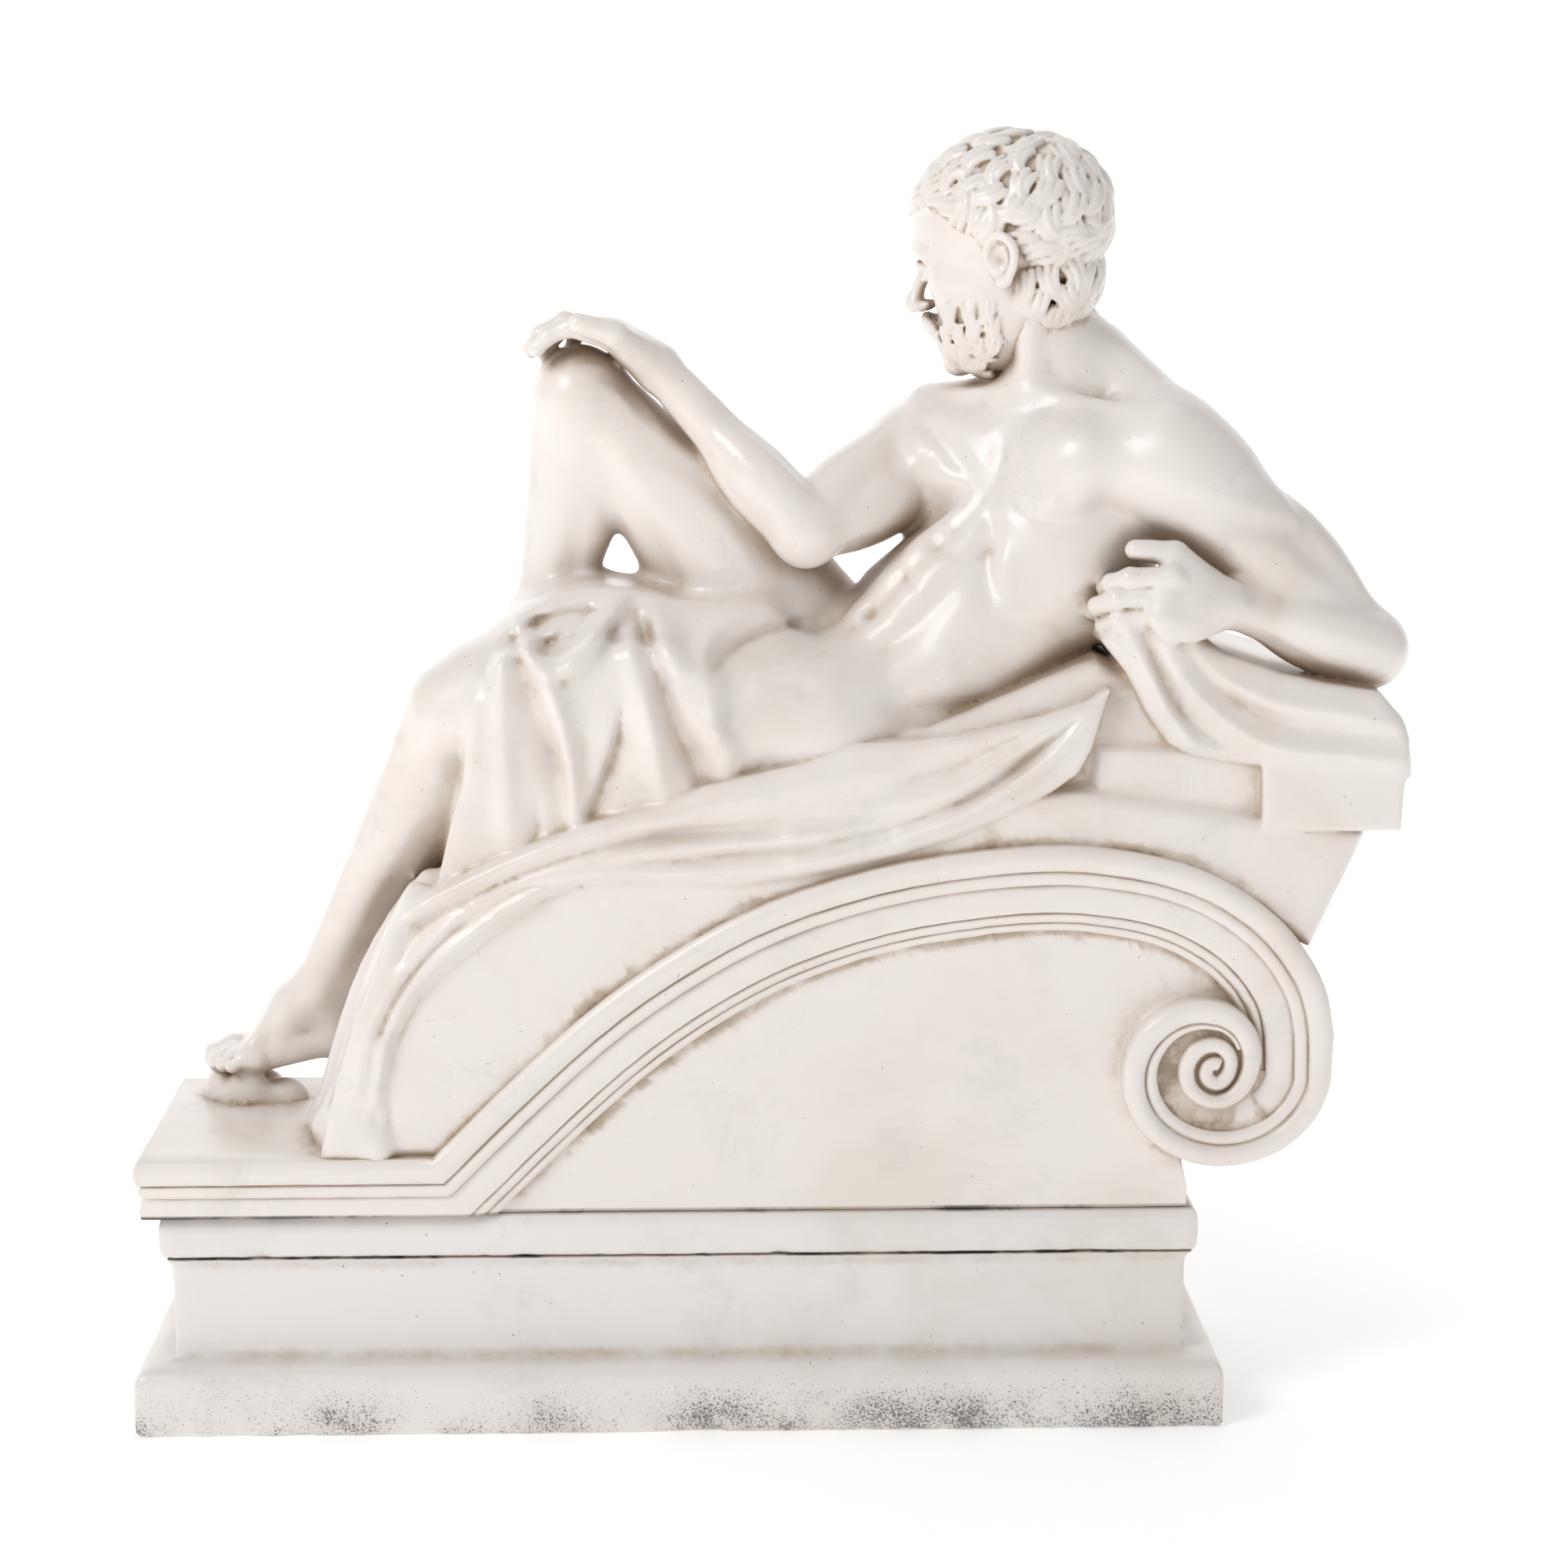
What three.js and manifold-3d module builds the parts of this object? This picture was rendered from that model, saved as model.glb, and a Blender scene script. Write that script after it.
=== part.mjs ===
// A reclining man carved in marble with the scroll-ended lid he lies on, and the moulded plinth below.
// Units are millimetres. The origin is the centre of the plinth's underside, +X runs from the feet to
// the head, +Y to the back and +Z up.
import * as THREE from 'three';
import Module from 'manifold-3d';

// ---------------------------------------------------------------- driving dimensions
const PLINTH = {
  base: { halfLength: 400, halfDepth: 115, low: 0, high: 50, arris: 8 },
  dado: { halfLength: 373, halfDepth: 88, high: 130 },
  band: { halfLength: 380, halfDepth: 96, high: 163.7, arris: 5 },
};
const BED = 164; // where the carved block stands on the plinth
const LEDGE_TOP = 209; // the flat ledge of the lid, under the forward foot
const LEDGE_END = -395;
const CORNER_X = -179; // where the ledge's mouldings turn up into the arch
const PANEL = { halfDepth: 93, end: 372 };

// The lid's mouldings, from the outer edge inwards: width and distance from the middle plane.
const MOULDINGS = {
  roll: { width: 19, halfDepth: 112 },
  fillet: { width: 9, halfDepth: 107 },
  flat: { width: 21, halfDepth: 104 },
  bead: { width: 8, halfDepth: 100 },
  lip: { width: 6, halfDepth: 97 },
};

// The arch's outer edge from the ledge to the widest point of the volute, as (x, z).
const ARCH = [
  [-179, 209], [-125, 263], [-60, 322], [5, 367], [70, 400], [152, 425], [238, 437], [296, 437],
  [354, 427], [397, 409], [430, 385], [453, 358], [468, 328], [474, 298],
];
// The volute: its eye, and its radius at each quarter turn from the right, going down and round.
const EYE = [389, 270];
const VOLUTE_RADII = [85, 71, 67.5, 53, 31, 27.5, 28, 26, 16, 15, 13, 11.5];
const VOLUTE_ROLL = [17, 16, 16, 18, 13, 10, 12.5, 12, 12]; // width of the roll at each quarter
const EYE_TURN = 11.3; // where the roll ends, in quarter turns
const ROLL_INNER_TURN = 7.4;
const FILLET_TURN = 3.7;
const INNER_MOULDING_TURN = 0.4;
const ARCH_STEPS = 18;
const STEPS_A_QUARTER = 4;

const CELL = 4.5; // modelling grid of the figure
const FIGURE_TRIANGLES = 7900;
const HEAD_LOW = 770; // the head, above this height, keeps finer triangles

// ---------------------------------------------------------------- small vector helpers
const plus = (a, b, k = 1) => a.map((v, i) => v + k * b[i]);
const minus = (a, b) => plus(a, b, -1);
const dot = (a, b) => a[0] * b[0] + a[1] * b[1] + a[2] * b[2];
const cross = (a, b) => [
  a[1] * b[2] - a[2] * b[1],
  a[2] * b[0] - a[0] * b[2],
  a[0] * b[1] - a[1] * b[0],
];
const unit = (a) => a.map((v) => v / Math.hypot(...a));
const between = (a, b, t) => a.map((v, i) => v + t * (b[i] - v));
const clamp = (v, low = 0, high = 1) => Math.min(high, Math.max(low, v));
const ease = (v) => clamp(v) ** 2 * (3 - 2 * clamp(v));

// A frame with its own forward, right and up directions, to place features on a part of the body.
class Frame {
  constructor(origin, forward, upish) {
    this.origin = origin;
    this.forward = unit(forward);
    this.right = unit(cross(this.forward, upish));
    this.up = cross(this.right, this.forward);
  }

  point(f, r, u) {
    return plus(plus(plus(this.origin, this.forward, f), this.right, r), this.up, u);
  }
}

// ---------------------------------------------------------------- distance shapes
// A shape is its box and its signed distance: negative inside, positive outside.
function ball(centre, radius) {
  return {
    low: centre.map((v) => v - radius),
    high: centre.map((v) => v + radius),
    at: (x, y, z) => Math.hypot(x - centre[0], y - centre[1], z - centre[2]) - radius,
  };
}

// A limb: two balls of different radius with the cone that touches both.
function limb(a, b, ra, rb) {
  const ab = minus(b, a);
  const length2 = dot(ab, ab);
  const difference = ra - rb;
  const a2 = length2 - difference * difference;
  if (a2 <= 0) return ra > rb ? ball(a, ra) : ball(b, rb);
  const inverse = 1 / length2;
  return {
    low: a.map((v, i) => Math.min(v - ra, b[i] - rb)),
    high: a.map((v, i) => Math.max(v + ra, b[i] + rb)),
    at: (x, y, z) => {
      const px = x - a[0];
      const py = y - a[1];
      const pz = z - a[2];
      const along = px * ab[0] + py * ab[1] + pz * ab[2];
      const beyond = along - length2;
      const qx = px * length2 - ab[0] * along;
      const qy = py * length2 - ab[1] * along;
      const qz = pz * length2 - ab[2] * along;
      const x2 = qx * qx + qy * qy + qz * qz;
      const y2 = along * along * length2;
      const z2 = beyond * beyond * length2;
      const k = Math.sign(difference) * difference * difference * x2;
      if (Math.sign(beyond) * a2 * z2 > k) return Math.sqrt(x2 + z2) * inverse - rb;
      if (Math.sign(along) * a2 * y2 < k) return Math.sqrt(x2 + y2) * inverse - ra;
      return (Math.sqrt(x2 * a2 * inverse) + along * difference) * inverse - ra;
    },
  };
}

// An egg with three radii, along its frame's forward, right and up.
function egg(centre, radii, frame = new Frame(centre, [1, 0, 0], [0, 0, 1])) {
  const [rf, rr, ru] = radii;
  const { forward: f, right: r, up: u } = frame;
  const reach = [0, 1, 2].map((i) => Math.hypot(f[i] * rf, r[i] * rr, u[i] * ru));
  return {
    low: minus(centre, reach),
    high: plus(centre, reach),
    at: (x, y, z) => {
      const d = [x - centre[0], y - centre[1], z - centre[2]];
      const a = dot(d, f);
      const b = dot(d, r);
      const c = dot(d, u);
      const k0 = Math.hypot(a / rf, b / rr, c / ru);
      const k1 = Math.hypot(a / (rf * rf), b / (rr * rr), c / (ru * ru));
      return k1 < 1e-9 ? -Math.min(rf, rr, ru) : (k0 * (k0 - 1)) / k1;
    },
  };
}

// A slab with the given outline in the XZ plane, between two Y planes, its edges rounded.
function slab(outline, front, back, round) {
  const xs = outline.map((p) => p[0]);
  const zs = outline.map((p) => p[1]);
  const middle = (front + back) / 2;
  const half = (back - front) / 2;
  return {
    low: [Math.min(...xs), front, Math.min(...zs)],
    high: [Math.max(...xs), back, Math.max(...zs)],
    at: (x, y, z) => {
      const flat = outlineDistance(outline, x, z) + round;
      const deep = Math.abs(y - middle) - half + round;
      const outside = Math.hypot(Math.max(flat, 0), Math.max(deep, 0));
      return Math.min(Math.max(flat, deep), 0) + outside - round;
    },
  };
}

function outlineDistance(outline, x, z) {
  let nearest = Infinity;
  let inside = false;
  for (let i = 0, j = outline.length - 1; i < outline.length; j = i++) {
    const [ax, az] = outline[i];
    const [bx, bz] = outline[j];
    const ex = bx - ax;
    const ez = bz - az;
    const t = clamp(((x - ax) * ex + (z - az) * ez) / (ex * ex + ez * ez));
    nearest = Math.min(nearest, Math.hypot(x - ax - t * ex, z - az - t * ez));
    if (az > z !== bz > z && x < (ex * (z - az)) / ez + ax) inside = !inside;
  }
  return inside ? -nearest : nearest;
}

const smoothMin = (a, b, k) => {
  const h = Math.max(k - Math.abs(a - b), 0) / k;
  return Math.min(a, b) - h * h * k * 0.25;
};

// ---------------------------------------------------------------- clay
// A block of clay on a regular grid, to which shapes are added and from which they are cut.
const CLAY_LOW = [-405, -150, 150];
const CLAY_HIGH = [540, 145, 955];
const FAR = 60;

class Clay {
  constructor() {
    this.n = CLAY_LOW.map((v, i) => Math.ceil((CLAY_HIGH[i] - v) / CELL) + 1);
    this.values = new Float32Array(this.n[0] * this.n[1] * this.n[2]).fill(FAR);
  }

  each(low, high, margin, change) {
    const from = low.map((v, i) => Math.max(0, Math.floor((v - margin - CLAY_LOW[i]) / CELL)));
    const to = high.map((v, i) =>
      Math.min(this.n[i] - 1, Math.ceil((v + margin - CLAY_LOW[i]) / CELL)));
    for (let k = from[2]; k <= to[2]; k++)
      for (let j = from[1]; j <= to[1]; j++)
        for (let i = from[0]; i <= to[0]; i++) {
          const at = (k * this.n[1] + j) * this.n[0] + i;
          const x = CLAY_LOW[0] + i * CELL;
          const y = CLAY_LOW[1] + j * CELL;
          const z = CLAY_LOW[2] + k * CELL;
          this.values[at] = change(this.values[at], x, y, z, at);
        }
  }

  add(shape, blend = 8) {
    this.each(shape.low, shape.high, blend + 3 * CELL, (old, x, y, z) =>
      smoothMin(old, shape.at(x, y, z), blend));
    return this;
  }

  cut(shape, blend = 6) {
    this.each(shape.low, shape.high, blend + 3 * CELL, (old, x, y, z) =>
      -smoothMin(-old, shape.at(x, y, z), blend));
    return this;
  }

  // Joins another block; blendAt gives how softly the two run together at a point.
  merge(other, blendAt) {
    this.each(CLAY_LOW, CLAY_HIGH, 0, (old, x, y, z, at) => {
      const added = other.values[at];
      return added >= FAR && old >= FAR ? old : smoothMin(old, added, blendAt(x, y, z));
    });
    return this;
  }
}

// Soft near a joint, crisp away from it.
const softNear = (joint, reach, soft = 22, crisp = 4) => (x, y, z) => {
  const distance = Math.hypot(x - joint[0], y - joint[1], z - joint[2]);
  return crisp + (soft - crisp) * (1 - ease((distance - reach) / reach));
};

// A row of limbs along a smooth curve through the points, its radius running between the radii.
function fold(points, radii, steps = 9) {
  const curve = new THREE.CatmullRomCurve3(points.map((p) => new THREE.Vector3(...p)));
  const spots = curve.getPoints(steps).map((p) => p.toArray());
  const radiusAt = (i) => {
    const t = (i / steps) * (radii.length - 1);
    const k = Math.min(radii.length - 2, Math.floor(t));
    return radii[k] + (t - k) * (radii[k + 1] - radii[k]);
  };
  return spots.slice(1).map((p, i) => limb(spots[i], p, radiusAt(i), radiusAt(i + 1)));
}

// ---------------------------------------------------------------- the figure's joints
const JOINTS = {
  pelvis: [130, 3, 520],
  waist: [205, -2, 600],
  chest: [264, 5, 668],
  neck: [292, 8, 745],
  skull: [243, 4, 873],
  leftShoulder: [354, -56, 706],
  leftElbow: [499, -60, 573],
  leftWrist: [386, -96, 612],
  rightShoulder: [200, 66, 712],
  rightElbow: [94, -26, 655],
  rightWrist: [-14, 12, 772],
  leftHip: [106, -40, 515],
  leftKnee: [-160, -44, 527],
  leftAnkle: [-276, 52, 300],
  rightHip: [120, 45, 532],
  rightKnee: [-70, 30, 750],
  rightAnkle: [-110, 62, 512],
};
const CHEST = new Frame(JOINTS.chest, [-0.62, -0.72, 0.3], [0.2, 0.2, 0.95]);
const HEAD = new Frame(JOINTS.skull, [-0.9, 0.4, -0.2], [-0.1, 0, 1]);

function torso() {
  const { pelvis, waist, neck } = JOINTS;
  const clay = new Clay()
    .add(egg(pelvis, [60, 76, 54]))
    .add(limb(pelvis, waist, 58, 62), 20)
    .add(limb([150, -28, 520], [292, -10, 628], 50, 60), 20)
    .add(egg(CHEST.origin, [66, 98, 92], CHEST), 20)
    .add(limb(neck, HEAD.point(-8, 0, -45), 38, 36), 16)
    .add(limb(plus(neck, [12, 4, 26]), [352, -40, 732], 34, 30), 18)
    .add(limb(plus(neck, [-6, 4, 20]), [214, 56, 730], 24, 22), 18);
  for (const side of [-1, 1]) {
    clay.add(egg(CHEST.point(46, side * 44, 24), [24, 44, 38], CHEST), 10);
  }
  const grooves = [
    [CHEST.point(72, 0, 62), CHEST.point(70, 0, -20)],
    [CHEST.point(66, 0, -24), CHEST.point(42, 56, -66)],
    [CHEST.point(66, 0, -24), CHEST.point(42, -56, -66)],
    [CHEST.point(70, 0, -24), [150, -52, 592]],
  ];
  for (const [from, to] of grooves) clay.cut(limb(from, to, 6, 6), 10);
  return clay.cut(ball([146, -54, 590], 7), 6);
}

function leftArm() {
  const { leftShoulder: s, leftElbow: e, leftWrist: w } = JOINTS;
  return new Clay()
    .add(limb(s, e, 50, 29))
    .add(egg(plus(s, [4, -8, 4]), [50, 46, 48]), 14)
    .add(egg(between(s, e, 0.5), [50, 40, 40], new Frame(s, minus(e, s), [0, 0, 1])), 14)
    .add(limb(e, w, 28, 17), 8)
    .add(egg(between(e, w, 0.25), [38, 26, 25], new Frame(e, minus(w, e), [0, 0, 1])), 10);
}

function rightArm() {
  const { rightShoulder: s, rightElbow: e, rightWrist: w } = JOINTS;
  return new Clay()
    .add(limb(s, e, 42, 27))
    .add(egg(plus(s, [-6, 0, 2]), [40, 40, 44]), 14)
    .add(egg(between(s, e, 0.5), [46, 35, 35], new Frame(s, minus(e, s), [0, 0, 1])), 14)
    .add(limb(e, w, 26, 16), 8)
    .add(egg(between(e, w, 0.28), [40, 26, 26], new Frame(e, minus(w, e), [0, 0, 1])), 10);
}

function leftLeg() {
  const { leftHip: h, leftKnee: k, leftAnkle: a } = JOINTS;
  const shin = new Frame(k, minus(a, k), [-1, 0, 0.4]);
  return new Clay()
    .add(limb(h, k, 62, 40))
    .add(egg([72, -44, 500], [78, 54, 50]), 16)
    .add(egg(plus(k, [-12, 0, 6]), [34, 36, 34]), 10)
    .add(limb(k, a, 36, 18), 10)
    .add(egg(shin.point(85, 0, -14), [80, 33, 32], shin), 12)
    .add(limb(a, plus(a, [10, 5, -30]), 21, 19), 8);
}

function rightLeg() {
  const { rightHip: h, rightKnee: k, rightAnkle: a } = JOINTS;
  const shin = new Frame(k, minus(a, k), [-1, 0, 0]);
  const thigh = new Frame(h, minus(k, h), [0, 0, 1]);
  return new Clay()
    .add(limb(h, k, 66, 37))
    .add(egg(thigh.point(110, 0, 4), [110, 52, 52], thigh), 16)
    .add(egg(plus(k, [-10, -4, 12]), [32, 34, 34]), 10)
    .add(limb(k, a, 34, 19), 10)
    .add(egg(shin.point(85, 0, -12), [82, 34, 33], shin), 12)
    .add(limb(a, [-88, 70, 482], 21, 18), 8)
    .add(limb([-92, 70, 484], [-165, 76, 470], 18, 13), 8)
    .add(limb([-165, 76, 470], [-196, 80, 466], 13, 9), 6);
}

// Where each hand's knuckles are, and the ways its knuckles run, its fingers bend and its thumb lies.
const LEFT_HAND = {
  knuckles: [342, -104, 612], across: [0.15, -0.2, 0.97], bend: [-0.2, 0.9, -0.4], thumb: [0, 0.1, 0.97],
};
const RIGHT_HAND = {
  knuckles: [-48, 18, 796], across: [0.1, 0.97, 0.1], bend: [-0.45, 0, -0.9], thumb: [0, -0.95, 0.1],
};

// A hand: a palm from the wrist to the knuckles, four fingers bent over an edge, and a thumb.
function hand(clay, wrist, { knuckles, across, bend, thumb }) {
  const palm = between(wrist, knuckles, 0.6);
  const frame = new Frame(palm, minus(knuckles, wrist), bend);
  clay.add(egg(palm, [34, 26, 14], frame), 8);
  for (let i = 0; i < 4; i++) {
    const offset = (i - 1.5) * 12.5;
    const length = [30, 34, 33, 26][i];
    const root = plus(knuckles, across, offset);
    const middle = plus(plus(root, frame.forward, length * 0.7), bend, length * 0.35);
    const tip = plus(plus(middle, frame.forward, length * 0.35), bend, length * 0.75);
    clay.add(limb(root, middle, 8.5, 7.2), 4).add(limb(middle, tip, 7.2, 6), 3);
  }
  const base = between(wrist, knuckles, 0.35);
  clay.add(limb(plus(base, thumb, 14), plus(plus(base, thumb, 34), frame.forward, 28), 10, 8), 6);
}

// The forward foot, its heel raised and its toes over a low rock.
function leftFoot(clay) {
  const heel = [-263, 60, 262];
  const forefoot = [-334, 58, 246];
  clay
    .add(limb(JOINTS.leftAnkle, heel, 20, 17), 10)
    .add(limb([-285, 54, 284], forefoot, 22, 15), 10)
    .add(limb(heel, forefoot, 16, 13), 8);
  for (let i = 0; i < 5; i++) {
    const y = 36 + i * 11.5;
    const size = i === 4 ? 10.5 : 7.8;
    clay.add(limb([-330, y, 244], [-358 - 3 * i, y - 2, 241], size, size * 0.85), 3);
  }
  clay.add(egg([-306, 58, 221], [52, 26, 16]), 4);
}

function head() {
  const clay = new Clay();
  const at = (f, r, u) => HEAD.point(f, r, u);
  const part = (f, r, u, radii, blend) => clay.add(egg(at(f, r, u), radii, HEAD), blend);
  part(0, 0, 0, [68, 55, 60], 8);
  part(26, 0, -48, [38, 40, 44], 18);
  part(50, 0, -74, [26, 30, 28], 14);
  part(60, 0, -2, [9, 34, 8], 8);
  clay.add(limb(at(66, 0, -12), at(80, 0, -34), 4.5, 6), 6);
  for (const side of [-1, 1]) {
    part(46, side * 32, -28, [15, 15, 13], 12);
    clay.cut(egg(at(68, side * 19, -17), [10, 12, 8], HEAD), 6);
    part(57, side * 19, -18, [8, 9, 6.5], 3);
    part(77, side * 6, -38, [6, 5, 4], 4);
  }
  part(68, 0, -52, [8, 17, 4], 5);
  part(66, 0, -61, [8, 13, 4.5], 4);
  hair(clay);
  return clay;
}

// Short locks in rings round the skull, and a beard of the same locks.
function hair(clay) {
  const golden = Math.PI * (3 - Math.sqrt(5));
  const count = 96;
  for (let i = 0; i < count; i++) {
    const u = 1 - (1.72 * (i + 0.5)) / count;
    const ring = Math.sqrt(1 - u * u);
    const f = Math.cos(i * golden) * ring;
    const r = Math.sin(i * golden) * ring;
    if (f > 0.42 && u < 0.5) continue;
    const spot = HEAD.point(f * 68, r * 55, u * 60);
    const normal = unit(minus(HEAD.point(f / 68, r / 55, u / 60), HEAD.origin));
    const turn = i * 2.4;
    const side = unit(cross(normal, HEAD.forward));
    const along = plus(side.map((v) => v * Math.cos(turn)), cross(normal, side), Math.sin(turn));
    clay.add(egg(plus(spot, normal, 3), [20, 10, 9], new Frame(spot, along, normal)), 2.5);
  }
  for (let i = 0; i < 18; i++) {
    const turn = (i - 8.5) * 0.21;
    const row = i % 3;
    const f = 26 + 50 * Math.cos(turn * 0.95) - 8 * row;
    clay.add(egg(HEAD.point(f, 38 * Math.sin(turn * 1.1), -66 - 13 * row), [11, 10, 16], HEAD), 3);
  }
}

// ---------------------------------------------------------------- couch and drapery
const COUCH = [
  [-211, 206], [-219, 255], [-212, 292], [-194, 334], [-161, 376], [-114, 402], [-40, 430],
  [40, 462], [150, 480], [291, 478], [496, 447], [457, 359], [430, 372], [380, 400], [296, 420],
  [152, 408], [5, 350], [-110, 250], [-160, 206],
];

const CUSHION = [[300, 455], [300, 506], [420, 500], [420, 450]];
const BLOCK_UNDER_ELBOW = [[415, 446], [414, 520], [521, 512], [521, 446]];
const BOLSTER = [[60, 440], [20, 500], [180, 520], [300, 570], [420, 520], [440, 450]];

function couch() {
  return new Clay()
    .add(slab(COUCH, -101, 101, 9))
    .add(slab(CUSHION, -92, 92, 6), 3)
    .add(slab(BLOCK_UNDER_ELBOW, -105, 100, 8), 2)
    .add(slab(BOLSTER, -88, 92, 16), 8);
}

function drapery() {
  const clay = new Clay();
  const drape = (points, radii, blend = 12) =>
    fold(points, radii).forEach((piece) => clay.add(piece, blend));
  // The swag over the front of the couch, gathered towards the feet.
  clay.add(slab([
    [290, 505], [198, 512], [94, 496], [25, 480], [-78, 448], [-159, 413], [-201, 380], [-215, 340],
    [-240, 278], [-262, 206], [-226, 206], [-214, 262], [-179, 328], [-137, 377], [-79, 406],
    [2, 416], [94, 417], [152, 422], [210, 437], [285, 480],
  ], -104, -60, 10), 6);
  drape([[305, -90, 540], [200, -98, 508], [95, -104, 492], [0, -106, 472], [-90, -106, 440],
    [-165, -102, 405]], [7, 10, 11, 10, 10, 9], 6);
  drape([[288, -100, 492], [215, -106, 462], [110, -110, 448], [0, -110, 440], [-90, -108, 412],
    [-160, -102, 372]], [6, 10, 12, 11, 10, 9], 6);
  drape([[262, -100, 470], [200, -106, 440], [95, -108, 424], [0, -107, 422], [-70, -106, 412]],
    [4, 7, 8, 8, 5], 5);
  drape([[-130, -104, 385], [-176, -98, 340], [-206, -90, 282], [-222, -84, 216]], [8, 9, 9, 10], 6);
  drape([[-160, -102, 400], [-200, -88, 352], [-228, -74, 290], [-240, -64, 216]], [9, 10, 10, 11], 6);
  drape([[-150, -94, 420], [-202, -72, 380], [-240, -46, 310], [-262, -26, 218]], [9, 11, 12, 13], 6);
  // Cloth over the near thigh, hanging down to the swag.
  drape([[-138, -44, 530], [-80, -44, 532], [0, -42, 528]], [48, 54, 58], 6);
  clay.add(slab([
    [-150, 540], [-100, 562], [10, 562], [44, 510], [50, 450], [-60, 415], [-140, 395], [-166, 430],
  ], -97, 0, 20), 10);
  drape([[-132, -70, 570], [-138, -94, 520], [-140, -100, 460], [-150, -102, 400]], [9, 11, 12, 12]);
  drape([[-104, -62, 585], [-92, -98, 530], [-96, -106, 470], [-112, -106, 416]], [8, 12, 13, 12]);
  drape([[-56, -50, 596], [-58, -100, 540], [-60, -110, 490], [-76, -108, 430]], [8, 13, 13, 11]);
  drape([[-4, -48, 596], [-14, -98, 548], [-30, -112, 500], [-52, -110, 446]], [9, 12, 13, 10]);
  drape([[24, -60, 580], [26, -100, 530], [14, -108, 490], [-4, -108, 460]], [8, 10, 11, 10]);
  drape([[-120, -20, 590], [-70, 0, 604], [-30, 6, 596]], [14, 16, 14]);
  drape([[-150, 20, 560], [-90, 40, 590], [-20, 40, 590]], [16, 20, 20]);
  // Cloth under the far foot, behind the near thigh.
  clay.add(slab([
    [-195, 380], [-205, 440], [-180, 462], [-60, 470], [60, 500], [60, 400],
  ], 0, 100, 16), 10);
  // Cloth thrown over the cushion from under the near hand.
  clay.add(slab([
    [326, 500], [306, 570], [330, 590], [380, 570], [440, 552], [518, 544], [524, 500],
  ], -98, 94, 12), 8);
  drape([[324, -98, 584], [366, -102, 566], [440, -100, 548], [514, -96, 540]], [9, 11, 12, 11], 8);
  drape([[312, -102, 584], [352, -110, 552], [424, -112, 528], [516, -108, 514]], [9, 12, 14, 14], 8);
  drape([[306, -104, 582], [340, -108, 538], [400, -110, 510], [516, -106, 490]], [8, 10, 11, 12], 8);
  drape([[300, -102, 580], [318, -102, 534], [350, -102, 508], [405, -104, 498]], [7, 9, 9, 7], 8);
  return clay;
}

function sculptFigure() {
  const all = torso();
  const left = leftLeg();
  leftFoot(left);
  all.merge(left, softNear(JOINTS.leftHip, 55));
  all.merge(rightLeg(), softNear(JOINTS.rightHip, 55));
  const nearArm = leftArm();
  hand(nearArm, JOINTS.leftWrist, LEFT_HAND);
  all.merge(nearArm, softNear(JOINTS.leftShoulder, 55));
  const farArm = rightArm();
  hand(farArm, JOINTS.rightWrist, RIGHT_HAND);
  all.merge(farArm, softNear(JOINTS.rightShoulder, 50));
  all.merge(head(), () => 5);
  all.merge(couch(), () => 4);
  all.merge(drapery(), () => 6);
  settle(all);
  return all;
}

// ---------------------------------------------------------------- surface of the clay
// Fills the grid points where the surface would touch itself along an edge or at a corner.
function settle({ n, values }) {
  const stride = [1, n[0], n[0] * n[1]];
  const corner = [0, 1, 2, 3, 4, 5, 6, 7].map((c) =>
    (c & 1) * stride[0] + ((c >> 1) & 1) * stride[1] + ((c >> 2) & 1) * stride[2]);
  const squares = [[0, 1, 3, 2], [4, 5, 7, 6], [0, 1, 5, 4], [2, 3, 7, 6], [0, 2, 6, 4], [1, 3, 7, 5]];
  const diagonals = [[0, 7], [1, 6], [2, 5], [3, 4]];
  const fill = (keys) => {
    const open = keys.filter((key) => values[key] >= 0);
    values[open.reduce((a, b) => (values[a] < values[b] ? a : b))] = -0.05 * CELL;
  };
  for (let changes = 1; changes;) {
    changes = 0;
    for (let key = 0; key + corner[7] < values.length; key++) {
      if (Math.abs(values[key]) > 2 * CELL) continue;
      for (const square of squares) {
        const [a, b, c, d] = square.map((v) => values[key + corner[v]] < 0);
        if (a !== c || b !== d || a === b) continue;
        fill(square.map((v) => key + corner[v]));
        changes++;
      }
      const inside = corner.map((offset) => values[key + offset] < 0);
      const count = inside.filter(Boolean).length;
      if (count !== 2 && count !== 6) continue;
      const odd = count === 2;
      if (!diagonals.some(([a, b]) => inside[a] === odd && inside[b] === odd)) continue;
      fill(corner.map((offset) => key + offset));
      changes++;
    }
  }
}

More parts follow.
